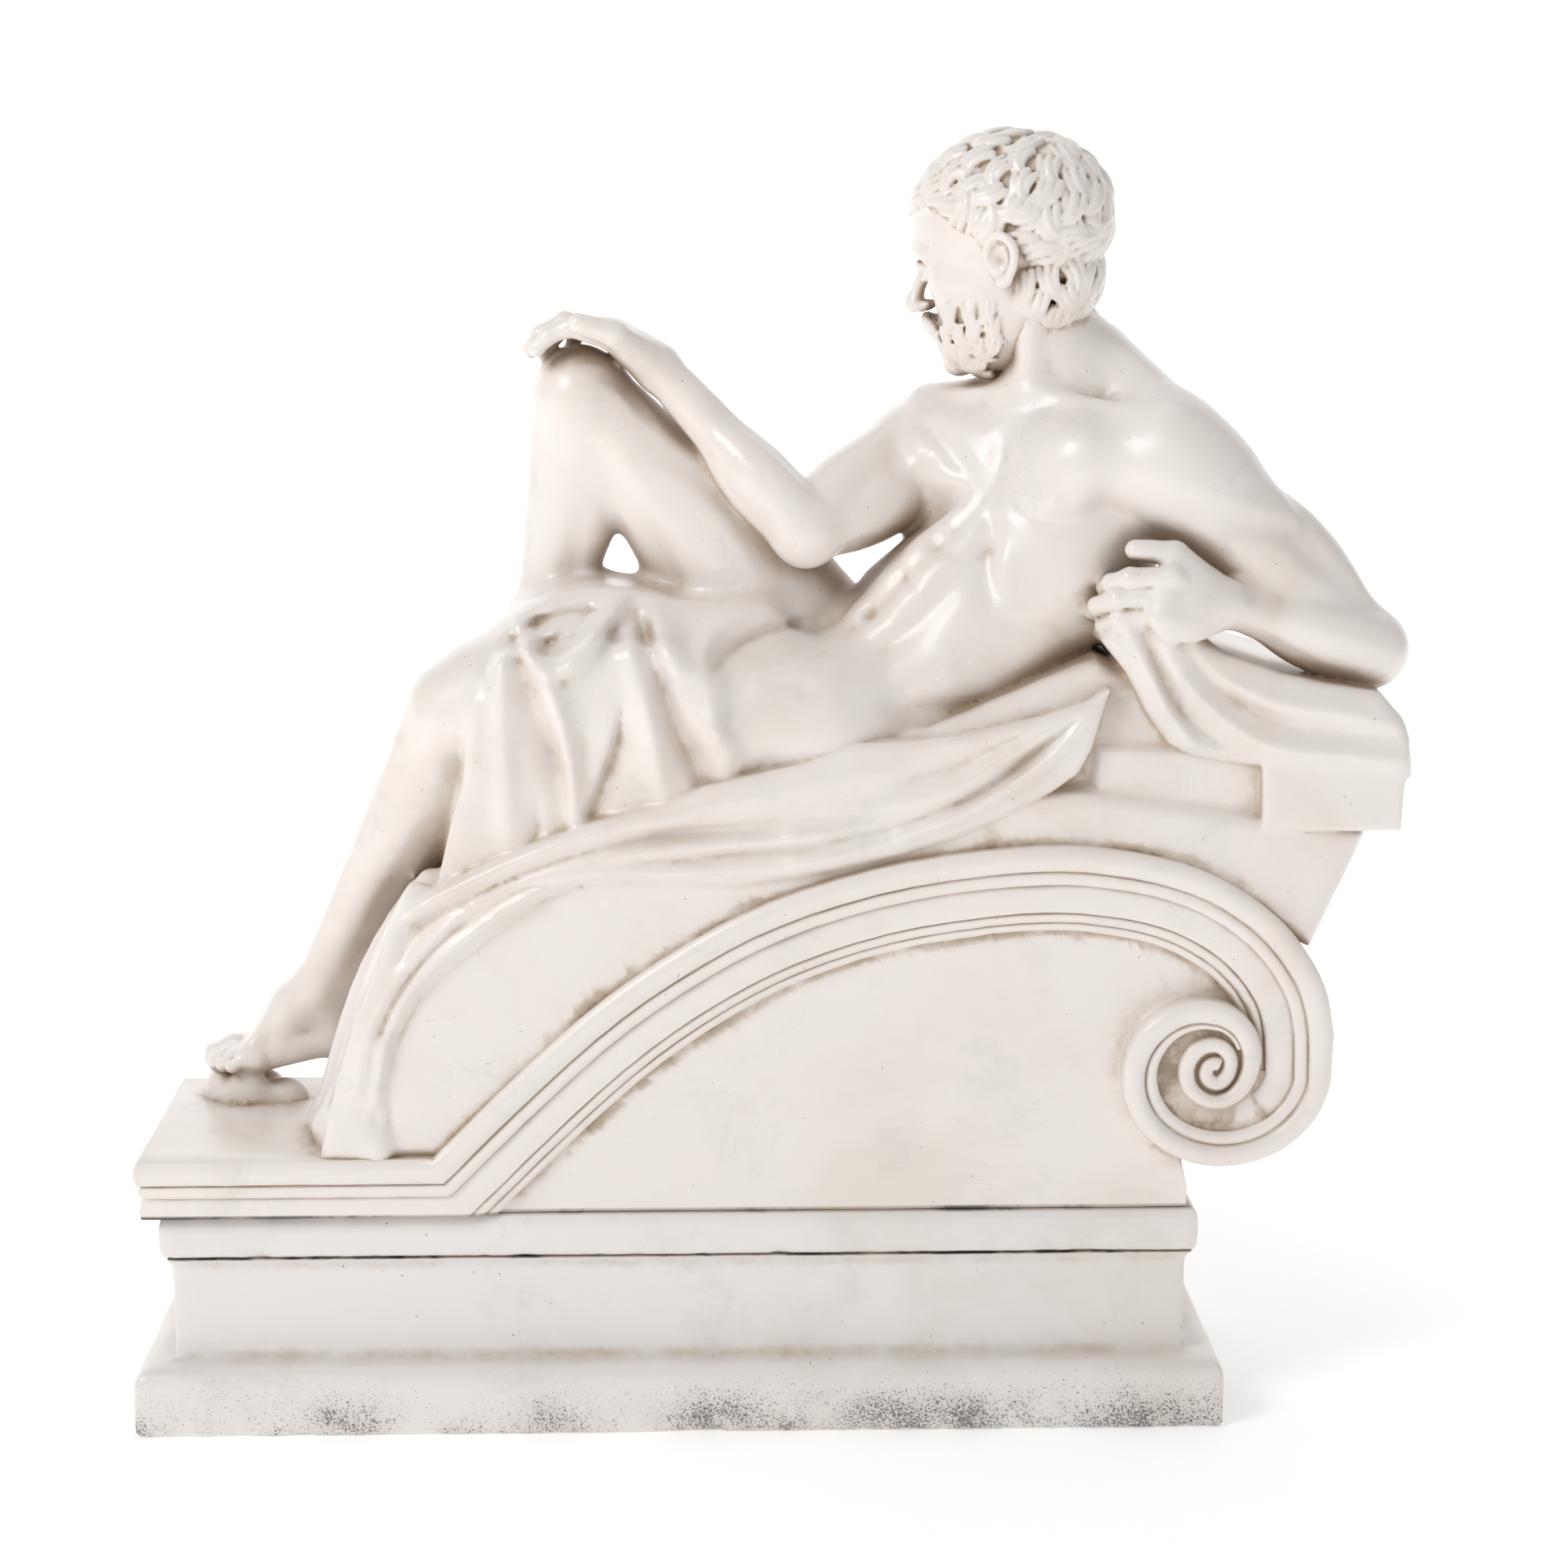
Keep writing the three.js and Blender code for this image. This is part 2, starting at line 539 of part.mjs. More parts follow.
// Dual surface of the zero level: a point in each cell that the surface crosses, joined over edges.
function surfaceOf(clay) {
  const [nx, ny] = clay.n;
  const { values } = clay;
  const stride = [1, nx, nx * ny];
  const points = [];
  const cellPoint = new Map();
  const corners = [0, 1, 2, 3, 4, 5, 6, 7].map((c) => [c & 1, (c >> 1) & 1, (c >> 2) & 1]);
  const edges = [];
  for (let a = 0; a < 8; a++)
    for (let axis = 0; axis < 3; axis++) if (!corners[a][axis]) edges.push([a, a | (1 << axis)]);
  const pointOf = (i, j, k) => {
    const key = (k * ny + j) * nx + i;
    const known = cellPoint.get(key);
    if (known !== undefined) return known;
    const sum = [0, 0, 0];
    let crossings = 0;
    const level = corners.map(([a, b, c]) => values[key + a * stride[0] + b * stride[1] + c * stride[2]]);
    for (const [a, b] of edges) {
      if (level[a] < 0 === level[b] < 0) continue;
      const t = level[a] / (level[a] - level[b]);
      for (let d = 0; d < 3; d++) sum[d] += corners[a][d] + t * (corners[b][d] - corners[a][d]);
      crossings++;
    }
    points.push([i, j, k].map((v, d) => CLAY_LOW[d] + (v + sum[d] / crossings) * CELL));
    cellPoint.set(key, points.length - 1);
    return points.length - 1;
  };
  const faces = [];
  for (let k = 1; k < clay.n[2] - 1; k++)
    for (let j = 1; j < ny - 1; j++)
      for (let i = 1; i < nx - 1; i++) {
        const key = (k * ny + j) * nx + i;
        const inside = values[key] < 0;
        for (let axis = 0; axis < 3; axis++) {
          if (values[key + stride[axis]] < 0 === inside) continue;
          const [u, v] = [(axis + 1) % 3, (axis + 2) % 3];
          const around = [[0, 0], [1, 0], [1, 1], [0, 1]].map(([a, b]) => {
            const cell = [i, j, k];
            cell[u] -= a;
            cell[v] -= b;
            return pointOf(...cell);
          });
          if (!inside) around.reverse();
          faces.push([around[0], around[1], around[2]], [around[0], around[2], around[3]]);
        }
      }
  return { points, faces };
}

// Smallest-first queue of candidate collapses.
class Queue {
  constructor() {
    this.items = [];
  }

  push(item) {
    const a = this.items;
    let i = a.push(item) - 1;
    while (i && a[(i - 1) >> 1].cost > item.cost) {
      a[i] = a[(i - 1) >> 1];
      i = (i - 1) >> 1;
    }
    a[i] = item;
  }

  pop() {
    const a = this.items;
    const first = a[0];
    const last = a.pop();
    if (!a.length) return first;
    let i = 0;
    for (;;) {
      let child = 2 * i + 1;
      if (child >= a.length) break;
      if (child + 1 < a.length && a[child + 1].cost < a[child].cost) child++;
      if (a[child].cost >= last.cost) break;
      a[i] = a[child];
      i = child;
    }
    a[i] = last;
    return first;
  }
}

// Collapses the edges that change the surface least, until about the given number of faces is left.
// weightAt raises the cost where small forms are to be kept.
function simplify({ points, faces }, target, weightAt) {
  const quadrics = points.map(() => new Float64Array(10));
  const touching = points.map(() => new Set());
  const normalOf = (f, swap, place) => {
    const [a, b, c] = f.map((v) => (swap.includes(v) ? place : points[v]));
    return cross(minus(b, a), minus(c, a));
  };
  faces.forEach((f) => {
    const n = normalOf(f, [], null);
    const area = Math.hypot(...n);
    if (area < 1e-12) return;
    const [a, b, c] = n.map((v) => v / area);
    const d = -dot([a, b, c], points[f[0]]);
    const terms = [a * a, a * b, a * c, a * d, b * b, b * c, b * d, c * c, c * d, d * d];
    for (const v of f) {
      const weight = area * weightAt(points[v]);
      terms.forEach((term, i) => (quadrics[v][i] += term * weight));
    }
  });
  faces.forEach((f, index) => f.forEach((v) => touching[v].add(index)));
  const errorOf = (q, [x, y, z]) =>
    q[0] * x * x + 2 * q[1] * x * y + 2 * q[2] * x * z + 2 * q[3] * x + q[4] * y * y +
    2 * q[5] * y * z + 2 * q[6] * y + q[7] * z * z + 2 * q[8] * z + q[9];
  const stamp = new Uint32Array(points.length);
  const queue = new Queue();
  const offer = (a, b) => {
    const q = quadrics[a].map((v, i) => v + quadrics[b][i]);
    const choices = [points[a], points[b], between(points[a], points[b], 0.5)];
    const [m0, m1, m2] = [[q[0], q[1], q[2]], [q[1], q[4], q[5]], [q[2], q[5], q[7]]];
    const volume = dot(m0, cross(m1, m2));
    if (Math.abs(volume) > 1e-6 * (q[0] + q[4] + q[7]) ** 3) {
      const rhs = [-q[3], -q[6], -q[8]];
      const best = [cross(m1, m2), cross(m2, m0), cross(m0, m1)];
      const place = [0, 1, 2].map((i) =>
        (best[0][i] * rhs[0] + best[1][i] * rhs[1] + best[2][i] * rhs[2]) / volume);
      const reach = 2 * Math.hypot(...minus(points[a], points[b]));
      if (Math.hypot(...minus(place, choices[2])) < reach) choices.push(place);
    }
    const costs = choices.map((p) => errorOf(q, p));
    const least = costs.indexOf(Math.min(...costs));
    const length2 = dot(minus(points[a], points[b]), minus(points[a], points[b]));
    const cost = costs[least] + 1e-5 * length2;
    queue.push({ cost, a, b, place: choices[least], q, sa: stamp[a], sb: stamp[b] });
  };
  const neighbours = (v) => {
    const found = new Set();
    touching[v].forEach((f) => faces[f].forEach((w) => w !== v && found.add(w)));
    return found;
  };
  faces.forEach((f) => f.forEach((v, i) => v < f[(i + 1) % 3] && offer(v, f[(i + 1) % 3])));
  let left = faces.length;
  while (left > target && queue.items.length) {
    const { a, b, place, q, sa, sb } = queue.pop();
    if (stamp[a] !== sa || stamp[b] !== sb || !touching[a].size || !touching[b].size) continue;
    const shared = [...touching[a]].filter((f) => touching[b].has(f));
    if (shared.length !== 2) continue;
    const around = neighbours(a);
    if ([...neighbours(b)].filter((v) => around.has(v)).length !== 2) continue;
    const kept = [...touching[a], ...touching[b]].filter((f) => !shared.includes(f));
    const turned = kept.some((f) => {
      const before = normalOf(faces[f], [], null);
      const after = normalOf(faces[f], [a, b], place);
      return dot(before, after) <= 0.25 * Math.hypot(...before) * Math.hypot(...after);
    });
    if (turned) continue;
    points[a] = place;
    quadrics[a] = q;
    shared.forEach((f) => faces[f].forEach((v) => touching[v].delete(f)));
    touching[b].forEach((f) => {
      faces[f] = faces[f].map((v) => (v === b ? a : v));
      touching[a].add(f);
    });
    touching[b].clear();
    stamp[b]++;
    stamp[a]++;
    left -= 2;
    neighbours(a).forEach((v) => offer(a, v));
  }
  const used = new Map();
  const outPoints = [];
  const outFaces = [];
  const seen = new Set();
  touching.forEach((set) => set.forEach((f) => seen.add(f)));
  seen.forEach((f) => outFaces.push(faces[f].map((v) => {
    if (!used.has(v)) used.set(v, outPoints.push(points[v]) - 1);
    return used.get(v);
  })));
  return { points: outPoints, faces: outFaces };
}

// ---------------------------------------------------------------- the lid
// The outer edge as even points: along the ledge, up the arch and round the volute. Each point has
// its turn in quarters, negative before the volute, and the direction to the inner side.
function outerEdge() {
  const arch = new THREE.CatmullRomCurve3(ARCH.map(([x, z]) => new THREE.Vector3(x, 0, z)));
  const edge = [{ at: [LEDGE_END, LEDGE_TOP], turn: -1 }];
  for (const p of arch.getPoints(ARCH_STEPS)) edge.push({ at: [p.x, p.z], turn: -1 });
  for (let i = 0; i <= EYE_TURN * STEPS_A_QUARTER; i++) {
    const turn = i / STEPS_A_QUARTER;
    const radius = along(VOLUTE_RADII, turn);
    const angle = -turn * 0.5 * Math.PI;
    const at = [EYE[0] + radius * Math.cos(angle), EYE[1] + radius * Math.sin(angle)];
    edge.push({ at, turn });
  }
  edge.forEach((point, i) => {
    const before = sideOf(edge[Math.max(i, 1) - 1].at, edge[Math.max(i, 1)].at);
    const last = Math.min(i, edge.length - 2);
    const after = sideOf(edge[last].at, edge[last + 1].at);
    const middle = unit(plus(before, after));
    const mitre = middle[0] * after[0] + middle[1] * after[1];
    point.inward = middle.map((v) => v / mitre);
  });
  return edge;
}

// The right-hand side of a step in the XZ plane.
function sideOf([ax, az], [bx, bz]) {
  return unit([bz - az, ax - bx]);
}

const rollWidth = (turn) => (turn < 0 ? MOULDINGS.roll.width : along(VOLUTE_ROLL, turn));

// A strip of the lid between two distances from its outer edge, up to the given turns.
function strip(edge, outer, inner, outerTurn, innerTurn, start) {
  const offset = (point, by) => plus(point.at, point.inward, by);
  const outside = edge.filter((p) => p.turn <= outerTurn).map((p) => offset(p, outer(p.turn)));
  const inside = edge.filter((p) => p.turn <= innerTurn).map((p) => offset(p, inner(p.turn)));
  outside[0][0] = start;
  inside[0][0] = start;
  return [...outside, ...inside.reverse()];
}

// A value between the entries of a list, running smoothly through them.
function along(list, t) {
  const k = Math.min(list.length - 2, Math.max(0, Math.floor(t)));
  const [a, b, c, d] = [list[k - 1] ?? list[k], list[k], list[k + 1], list[k + 2] ?? list[k + 1]];
  const s = t - k;
  return b + 0.5 * s * (c - a + s * (2 * a - 5 * b + 4 * c - d + s * (3 * (b - c) + d - a)));
}

// ---------------------------------------------------------------- building
const wasm = await Module();
wasm.setup();

function solid({ points, faces }) {
  return new wasm.Manifold(new wasm.Mesh({
    numProp: 3,
    vertProperties: new Float32Array(points.flat()),
    triVerts: new Uint32Array(faces.flat()),
  }));
}

// A straight body with the given outline in the XZ plane, as deep behind the middle plane as in front.
function prism(outline, halfDepth) {
  const flat = outline.map(([x, z]) => new THREE.Vector2(x, z));
  if (THREE.ShapeUtils.isClockWise(flat)) flat.reverse();
  const n = flat.length;
  const ring = (y) => flat.map((p) => [p.x, y, p.y]);
  const faces = [];
  for (const [a, b, c] of THREE.ShapeUtils.triangulateShape(flat, [])) {
    faces.push([a, b, c], [a + n, c + n, b + n]);
  }
  for (let i = 0; i < n; i++) {
    const j = (i + 1) % n;
    faces.push([i, i + n, j + n], [i, j + n, j]);
  }
  return solid({ points: [...ring(-halfDepth), ...ring(halfDepth)], faces });
}

// The scroll-ended lid: panel, mouldings and volute.
function lid() {
  const edge = outerEdge();
  const { roll, fillet, flat, bead, lip } = MOULDINGS;
  const offsets = [rollWidth];
  for (const { width } of [fillet, flat, bead, lip]) {
    const outer = offsets.at(-1);
    offsets.push((turn) => outer(turn) + width);
  }
  const taper = (turn) => rollWidth(turn) + fillet.width * (1 - ease((turn - 2) / 2));
  const end = INNER_MOULDING_TURN;
  const layers = [
    [strip(edge, () => 0, rollWidth, EYE_TURN, ROLL_INNER_TURN, LEDGE_END), roll],
    [strip(edge, rollWidth, taper, FILLET_TURN, FILLET_TURN, LEDGE_END + 4), fillet],
    [strip(edge, offsets[1], offsets[2], end, end, LEDGE_END + 7), flat],
    [strip(edge, offsets[2], offsets[3], end, end, LEDGE_END + 10), bead],
    [strip(edge, offsets[3], offsets[4], 0, 0, LEDGE_END + 12), lip],
  ];
  const whorl = edge.filter((p) => p.turn >= 0 && p.turn <= 4).map((p) => plus(p.at, p.inward, 8));
  const arch = edge.slice(1).filter((p) => p.turn < 0).map((p) => plus(p.at, p.inward, 20));
  const field = [...arch, EYE, [366, 206], [PANEL.end, 180], [PANEL.end, BED], [-170, BED]];
  return layers
    .map(([outline, { halfDepth }]) => prism(outline, halfDepth))
    .concat(prism(whorl, flat.halfDepth), prism(field, PANEL.halfDepth))
    .reduce((a, b) => a.add(b))
    .trimByPlane([0, 0, 1], BED);
}

// A block with its upper and lower arrises taken off.
function block({ halfLength, halfDepth, low, high, arris }) {
  const step = (inset, z) => [
    [-halfLength + inset, -halfDepth + inset, z], [halfLength - inset, -halfDepth + inset, z],
    [halfLength - inset, halfDepth - inset, z], [-halfLength + inset, halfDepth - inset, z],
  ];
  const points = [
    ...step(arris, low), ...step(0, low + arris), ...step(0, high - arris), ...step(arris, high),
  ];
  const faces = [[0, 2, 1], [0, 3, 2], [12, 13, 14], [12, 14, 15]];
  for (let level = 0; level < 12; level += 4)
    for (let i = 0; i < 4; i++) {
      const [a, b] = [level + i, level + ((i + 1) % 4)];
      faces.push([a, b, b + 4], [a, b + 4, a + 4]);
    }
  return solid({ points, faces });
}

function plinth() {
  const { base, dado, band } = PLINTH;
  return block(base)
    .add(block({ ...dado, low: base.high - 5, high: dado.high + 5, arris: 1 }))
    .add(block({ ...band, low: dado.high }));
}

function geometryOf(manifold) {
  const mesh = manifold.getMesh();
  const geometry = new THREE.BufferGeometry();
  geometry.setAttribute('position', new THREE.BufferAttribute(mesh.vertProperties, 3));
  geometry.setIndex(new THREE.BufferAttribute(mesh.triVerts, 1));
  geometry.computeVertexNormals();
  return geometry;
}

// The outer shell of the clay alone: gaps left inside between limbs and cloth are solid marble.
const headFirst = ([, , z]) => (z > HEAD_LOW ? 3 : 1);
const skin = simplify(surfaceOf(sculptFigure()), FIGURE_TRIANGLES, headFirst);
const figure = solid(skin).decompose().sort((a, b) => b.volume() - a.volume())[0];

const MARBLE = new THREE.MeshStandardMaterial({ color: 0xe9e2d8, roughness: 0.35, metalness: 0 });
const BASE_MARBLE = new THREE.MeshStandardMaterial({ color: 0xe4ddd2, roughness: 0.45, metalness: 0 });

const group = new THREE.Group();
for (const [name, body, material] of [
  ['reclining_figure', figure.add(lid()), MARBLE],
  ['plinth', plinth(), BASE_MARBLE],
]) {
  const mesh = new THREE.Mesh(geometryOf(body), material);
  mesh.name = name;
  group.add(mesh);
}
export default group;
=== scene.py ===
"""A reclining man carved in marble on a scroll-ended lid, and the moulded plinth that carries it."""

import logging
import math
from dataclasses import dataclass
from enum import Enum
from functools import cached_property
from typing import Callable

import bmesh
import bpy
import numpy as np
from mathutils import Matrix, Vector
from mathutils.bvhtree import BVHTree

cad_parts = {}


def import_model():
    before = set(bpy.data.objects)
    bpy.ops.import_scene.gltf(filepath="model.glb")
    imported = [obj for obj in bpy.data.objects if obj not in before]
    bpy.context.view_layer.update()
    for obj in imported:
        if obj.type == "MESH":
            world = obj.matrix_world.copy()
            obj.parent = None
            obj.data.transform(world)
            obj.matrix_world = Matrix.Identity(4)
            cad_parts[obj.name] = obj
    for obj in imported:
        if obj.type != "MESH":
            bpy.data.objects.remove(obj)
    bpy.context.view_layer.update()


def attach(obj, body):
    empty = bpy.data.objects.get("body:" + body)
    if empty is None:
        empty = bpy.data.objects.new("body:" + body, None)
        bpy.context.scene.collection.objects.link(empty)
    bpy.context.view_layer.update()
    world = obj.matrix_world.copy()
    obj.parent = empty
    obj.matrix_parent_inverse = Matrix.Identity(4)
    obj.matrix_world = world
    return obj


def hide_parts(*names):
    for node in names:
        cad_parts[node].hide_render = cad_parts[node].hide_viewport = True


log = logging.getLogger("statue")

Array = np.ndarray
Place = Array | tuple
Thing = bpy.types.Object
Tree = bpy.types.NodeTree
Socket = bpy.types.NodeSocket
MM = 0.001
FAR = 60.0
FIGURE_CELL = 2.0
HEAD_CELL = 1.15
FIGURE_FACES = 76_000
HEAD_FACES = 66_000
MOST_FACES = 196_000
LONGEST_EDGE = 24.0
LONGEST_BY_CREASE = 8.0
CREASE_ANGLE = 0.7
BED = 0.1640
GROOVE = 0.1300
CORNERS = np.array([[c & 1, (c >> 1) & 1, (c >> 2) & 1] for c in range(8)])
GOLDEN_TURN = math.pi * (3 - math.sqrt(5))
SHARP_ANGLE = math.radians(42)
WHITE = (1.0, 1.0, 1.0, 1.0)


class Side(Enum):
    """The two sides of the body, as the sign of its own right."""

    LEFT = -1
    RIGHT = 1


# --- vectors
def vec(*values: float) -> Array:
    """Make a vector from its numbers."""
    return np.array(values, dtype=float)


def unit(v: Array) -> Array:
    """Scale a vector to length one."""
    v = np.asarray(v, dtype=float)
    return v / (np.linalg.norm(v) + 1e-12)


def between(a: Array, b: Array, t: float) -> Array:
    """Give the point a share t of the way from a to b."""
    return np.asarray(a, float) + t * (np.asarray(b, float) - np.asarray(a, float))


def ease(t: Array) -> Array:
    """Run smoothly from 0 to 1 as t does."""
    t = np.clip(t, 0.0, 1.0)
    return t * t * (3 - 2 * t)


def along(share: Array, values: tuple) -> Array:
    """Read evenly spread values at shares of the way along them."""
    return np.interp(share, np.linspace(0, 1, len(values)), values)


def curve_between(a: Array, b: Array, c: Array, d: Array, s: float) -> Array:
    """Give the smooth curve through four knots at a share s of the way from b to c."""
    return b + 0.5 * s * (c - a + s * (2 * a - 5 * b + 4 * c - d + s * (3 * (b - c) + d - a)))


def smooth_path(points: list, count: int) -> Array:
    """Give even points on a smooth curve through the given ones.

    Args:
        points: the points the curve runs through.
        count: how many points to give.

    Returns:
        An array of points.
    """
    knots = np.array([np.asarray(p, float) for p in points])
    padded = np.vstack([2 * knots[0] - knots[1], knots, 2 * knots[-1] - knots[-2]])
    out = []
    for t in np.linspace(0, len(knots) - 1, count):
        k = min(int(t), len(knots) - 2)
        out.append(curve_between(*padded[k : k + 4], t - k))
    return np.array(out)


def blend_corners(cells: Array, shares: Array, read: Callable[[Array], Array]) -> Array:
    """Blend what is read at the corners of cells, at shares of the way across them."""
    total = np.zeros(len(cells))
    for corner in CORNERS:
        total += np.prod(np.where(corner, shares, 1 - shares), axis=1) * read(cells + corner)
    return total


@dataclass(frozen=True)
class Frame:
    """A place on the body with its own forward, right and up."""

    origin: Array
    forward: Array
    right: Array
    up: Array

    @classmethod
    def facing(cls, origin: Array, forward: Array, upish: Array) -> "Frame":
        """Build a frame from where it faces and roughly where its up is."""
        f = unit(forward)
        r = unit(np.cross(f, upish))
        return cls(np.asarray(origin, float), f, r, np.cross(r, f))

    def point(self, f: float, r: float, u: float) -> Array:
        """Give the place at these distances forward, right and up."""
        return self.origin + f * self.forward + r * self.right + u * self.up

    def turn(self, f: float, r: float, u: float) -> Array:
        """Give the direction with these parts forward, right and up."""
        return unit(f * self.forward + r * self.right + u * self.up)


WORLD = Frame(vec(0, 0, 0), vec(1, 0, 0), vec(0, -1, 0), vec(0, 0, 1))


# --- shapes
@dataclass(frozen=True)
class Shape:
    """A solid as its box and its signed distance, negative inside."""

    low: Array
    high: Array
    distance: Callable[[Array, Array, Array], Array]


def ball(centre: Array, radius: float) -> Shape:
    """Make a ball."""
    c = np.asarray(centre, float)
    return Shape(c - radius, c + radius, lambda x, y, z: np.sqrt(
        (x - c[0]) ** 2 + (y - c[1]) ** 2 + (z - c[2]) ** 2) - radius)


def limb(a: Array, b: Array, ra: float, rb: float) -> Shape:
    """Make two balls with the cone that touches both.

    Args:
        a: centre of the first ball.
        b: centre of the second ball.
        ra: radius at a.
        rb: radius at b.

    Returns:
        The shape.
    """
    a, b = np.asarray(a, float), np.asarray(b, float)
    length = float(np.linalg.norm(b - a))
    if length <= abs(ra - rb) + 1e-6:
        return ball(a, ra) if ra > rb else ball(b, rb)
    axis = (b - a) / length
    s = (ra - rb) / length
    c = math.sqrt(1 - s * s)

    def distance(x: Array, y: Array, z: Array) -> Array:
        px, py, pz = x - a[0], y - a[1], z - a[2]
        t = px * axis[0] + py * axis[1] + pz * axis[2]
        q2 = np.maximum(px * px + py * py + pz * pz - t * t, 0)
        q = np.sqrt(q2)
        k = c * t - s * q
        side = c * q + s * t - ra
        start = np.sqrt(q2 + t * t) - ra
        end = np.sqrt(q2 + (t - length) ** 2) - rb
        return np.where(k < 0, start, np.where(k > c * length, end, side))

    return Shape(np.minimum(a - ra, b - rb), np.maximum(a + ra, b + rb), distance)


def chain(points: list, radii: list, steps: int = 9) -> Shape:
    """Make a row of limbs along a smooth curve, joined without swelling.

    Args:
        points: the points that the curve runs through.
        radii: radii along it, evenly spread.
        steps: number of limbs.

    Returns:
        The shape.
    """
    path = smooth_path(points, steps + 1)
    sizes = along(np.linspace(0, 1, steps + 1), radii)
    links = [limb(path[i], path[i + 1], sizes[i], sizes[i + 1]) for i in range(steps)]
    return Shape(np.min([k.low for k in links], axis=0), np.max([k.high for k in links], axis=0),
                 lambda x, y, z: np.minimum.reduce([k.distance(x, y, z) for k in links]))


def egg(centre: Array, radii: tuple, frame: Frame = WORLD) -> Shape:
    """Make an egg with three radii along a frame's forward, right and up."""
    c = np.asarray(centre, float)
    axes = (frame.forward, frame.right, frame.up)
    reach = np.sqrt(sum((r * axis) ** 2 for r, axis in zip(radii, axes)))

    def distance(x: Array, y: Array, z: Array) -> Array:
        px, py, pz = x - c[0], y - c[1], z - c[2]
        k0 = 0.0
        k1 = 0.0
        for r, axis in zip(radii, axes):
            d = px * axis[0] + py * axis[1] + pz * axis[2]
            k0 = k0 + (d / r) ** 2
            k1 = k1 + (d / (r * r)) ** 2
        k0 = np.sqrt(k0)
        return k0 * (k0 - 1) / (np.sqrt(k1) + 1e-6)

    return Shape(c - reach, c + reach, distance)


def outline_distance(outline: list, x: Array, z: Array) -> Array:
    """Give the signed distance to a closed outline in the XZ plane."""
    nearest = np.full(np.broadcast(x, z).shape, 1e9)
    inside = np.zeros(nearest.shape, bool)
    previous = outline[-1]
    for ax, az in outline:
        bx, bz = previous
        ex, ez = bx - ax, bz - az
        t = np.clip(((x - ax) * ex + (z - az) * ez) / (ex * ex + ez * ez), 0, 1)
        nearest = np.minimum(nearest, np.hypot(x - ax - t * ex, z - az - t * ez))
        if ez:
            inside ^= ((az > z) != (bz > z)) & (x < ex * (z - az) / ez + ax)
        previous = (ax, az)
    return np.where(inside, -nearest, nearest)


def slab(outline: list, front: float, back: float, edge: float) -> Shape:
    """Make a slab with an outline in the XZ plane and rounded edges.

    Args:
        outline: its corners, as (x, z).
        front: the nearer Y plane.
        back: the further Y plane.
        edge: radius of its edges.

    Returns:
        The shape.
    """
    xs, zs = [p[0] for p in outline], [p[1] for p in outline]
    middle, half = (front + back) / 2, (back - front) / 2

    def distance(x: Array, y: Array, z: Array) -> Array:
        flat = outline_distance(outline, x, z) + edge
        deep = np.abs(y - middle) - half + edge
        outside = np.sqrt(np.maximum(flat, 0) ** 2 + np.maximum(deep, 0) ** 2)
        return np.minimum(np.maximum(flat, deep), 0) + outside - edge

    return Shape(vec(min(xs), front, min(zs)), vec(max(xs), back, max(zs)), distance)


def smooth_min(a: Array, b: Array, blend: Array) -> Array:
    """Join two distances softly."""
    h = np.maximum(blend - np.abs(a - b), 0) / blend
    return np.minimum(a, b) - h * h * blend * 0.25


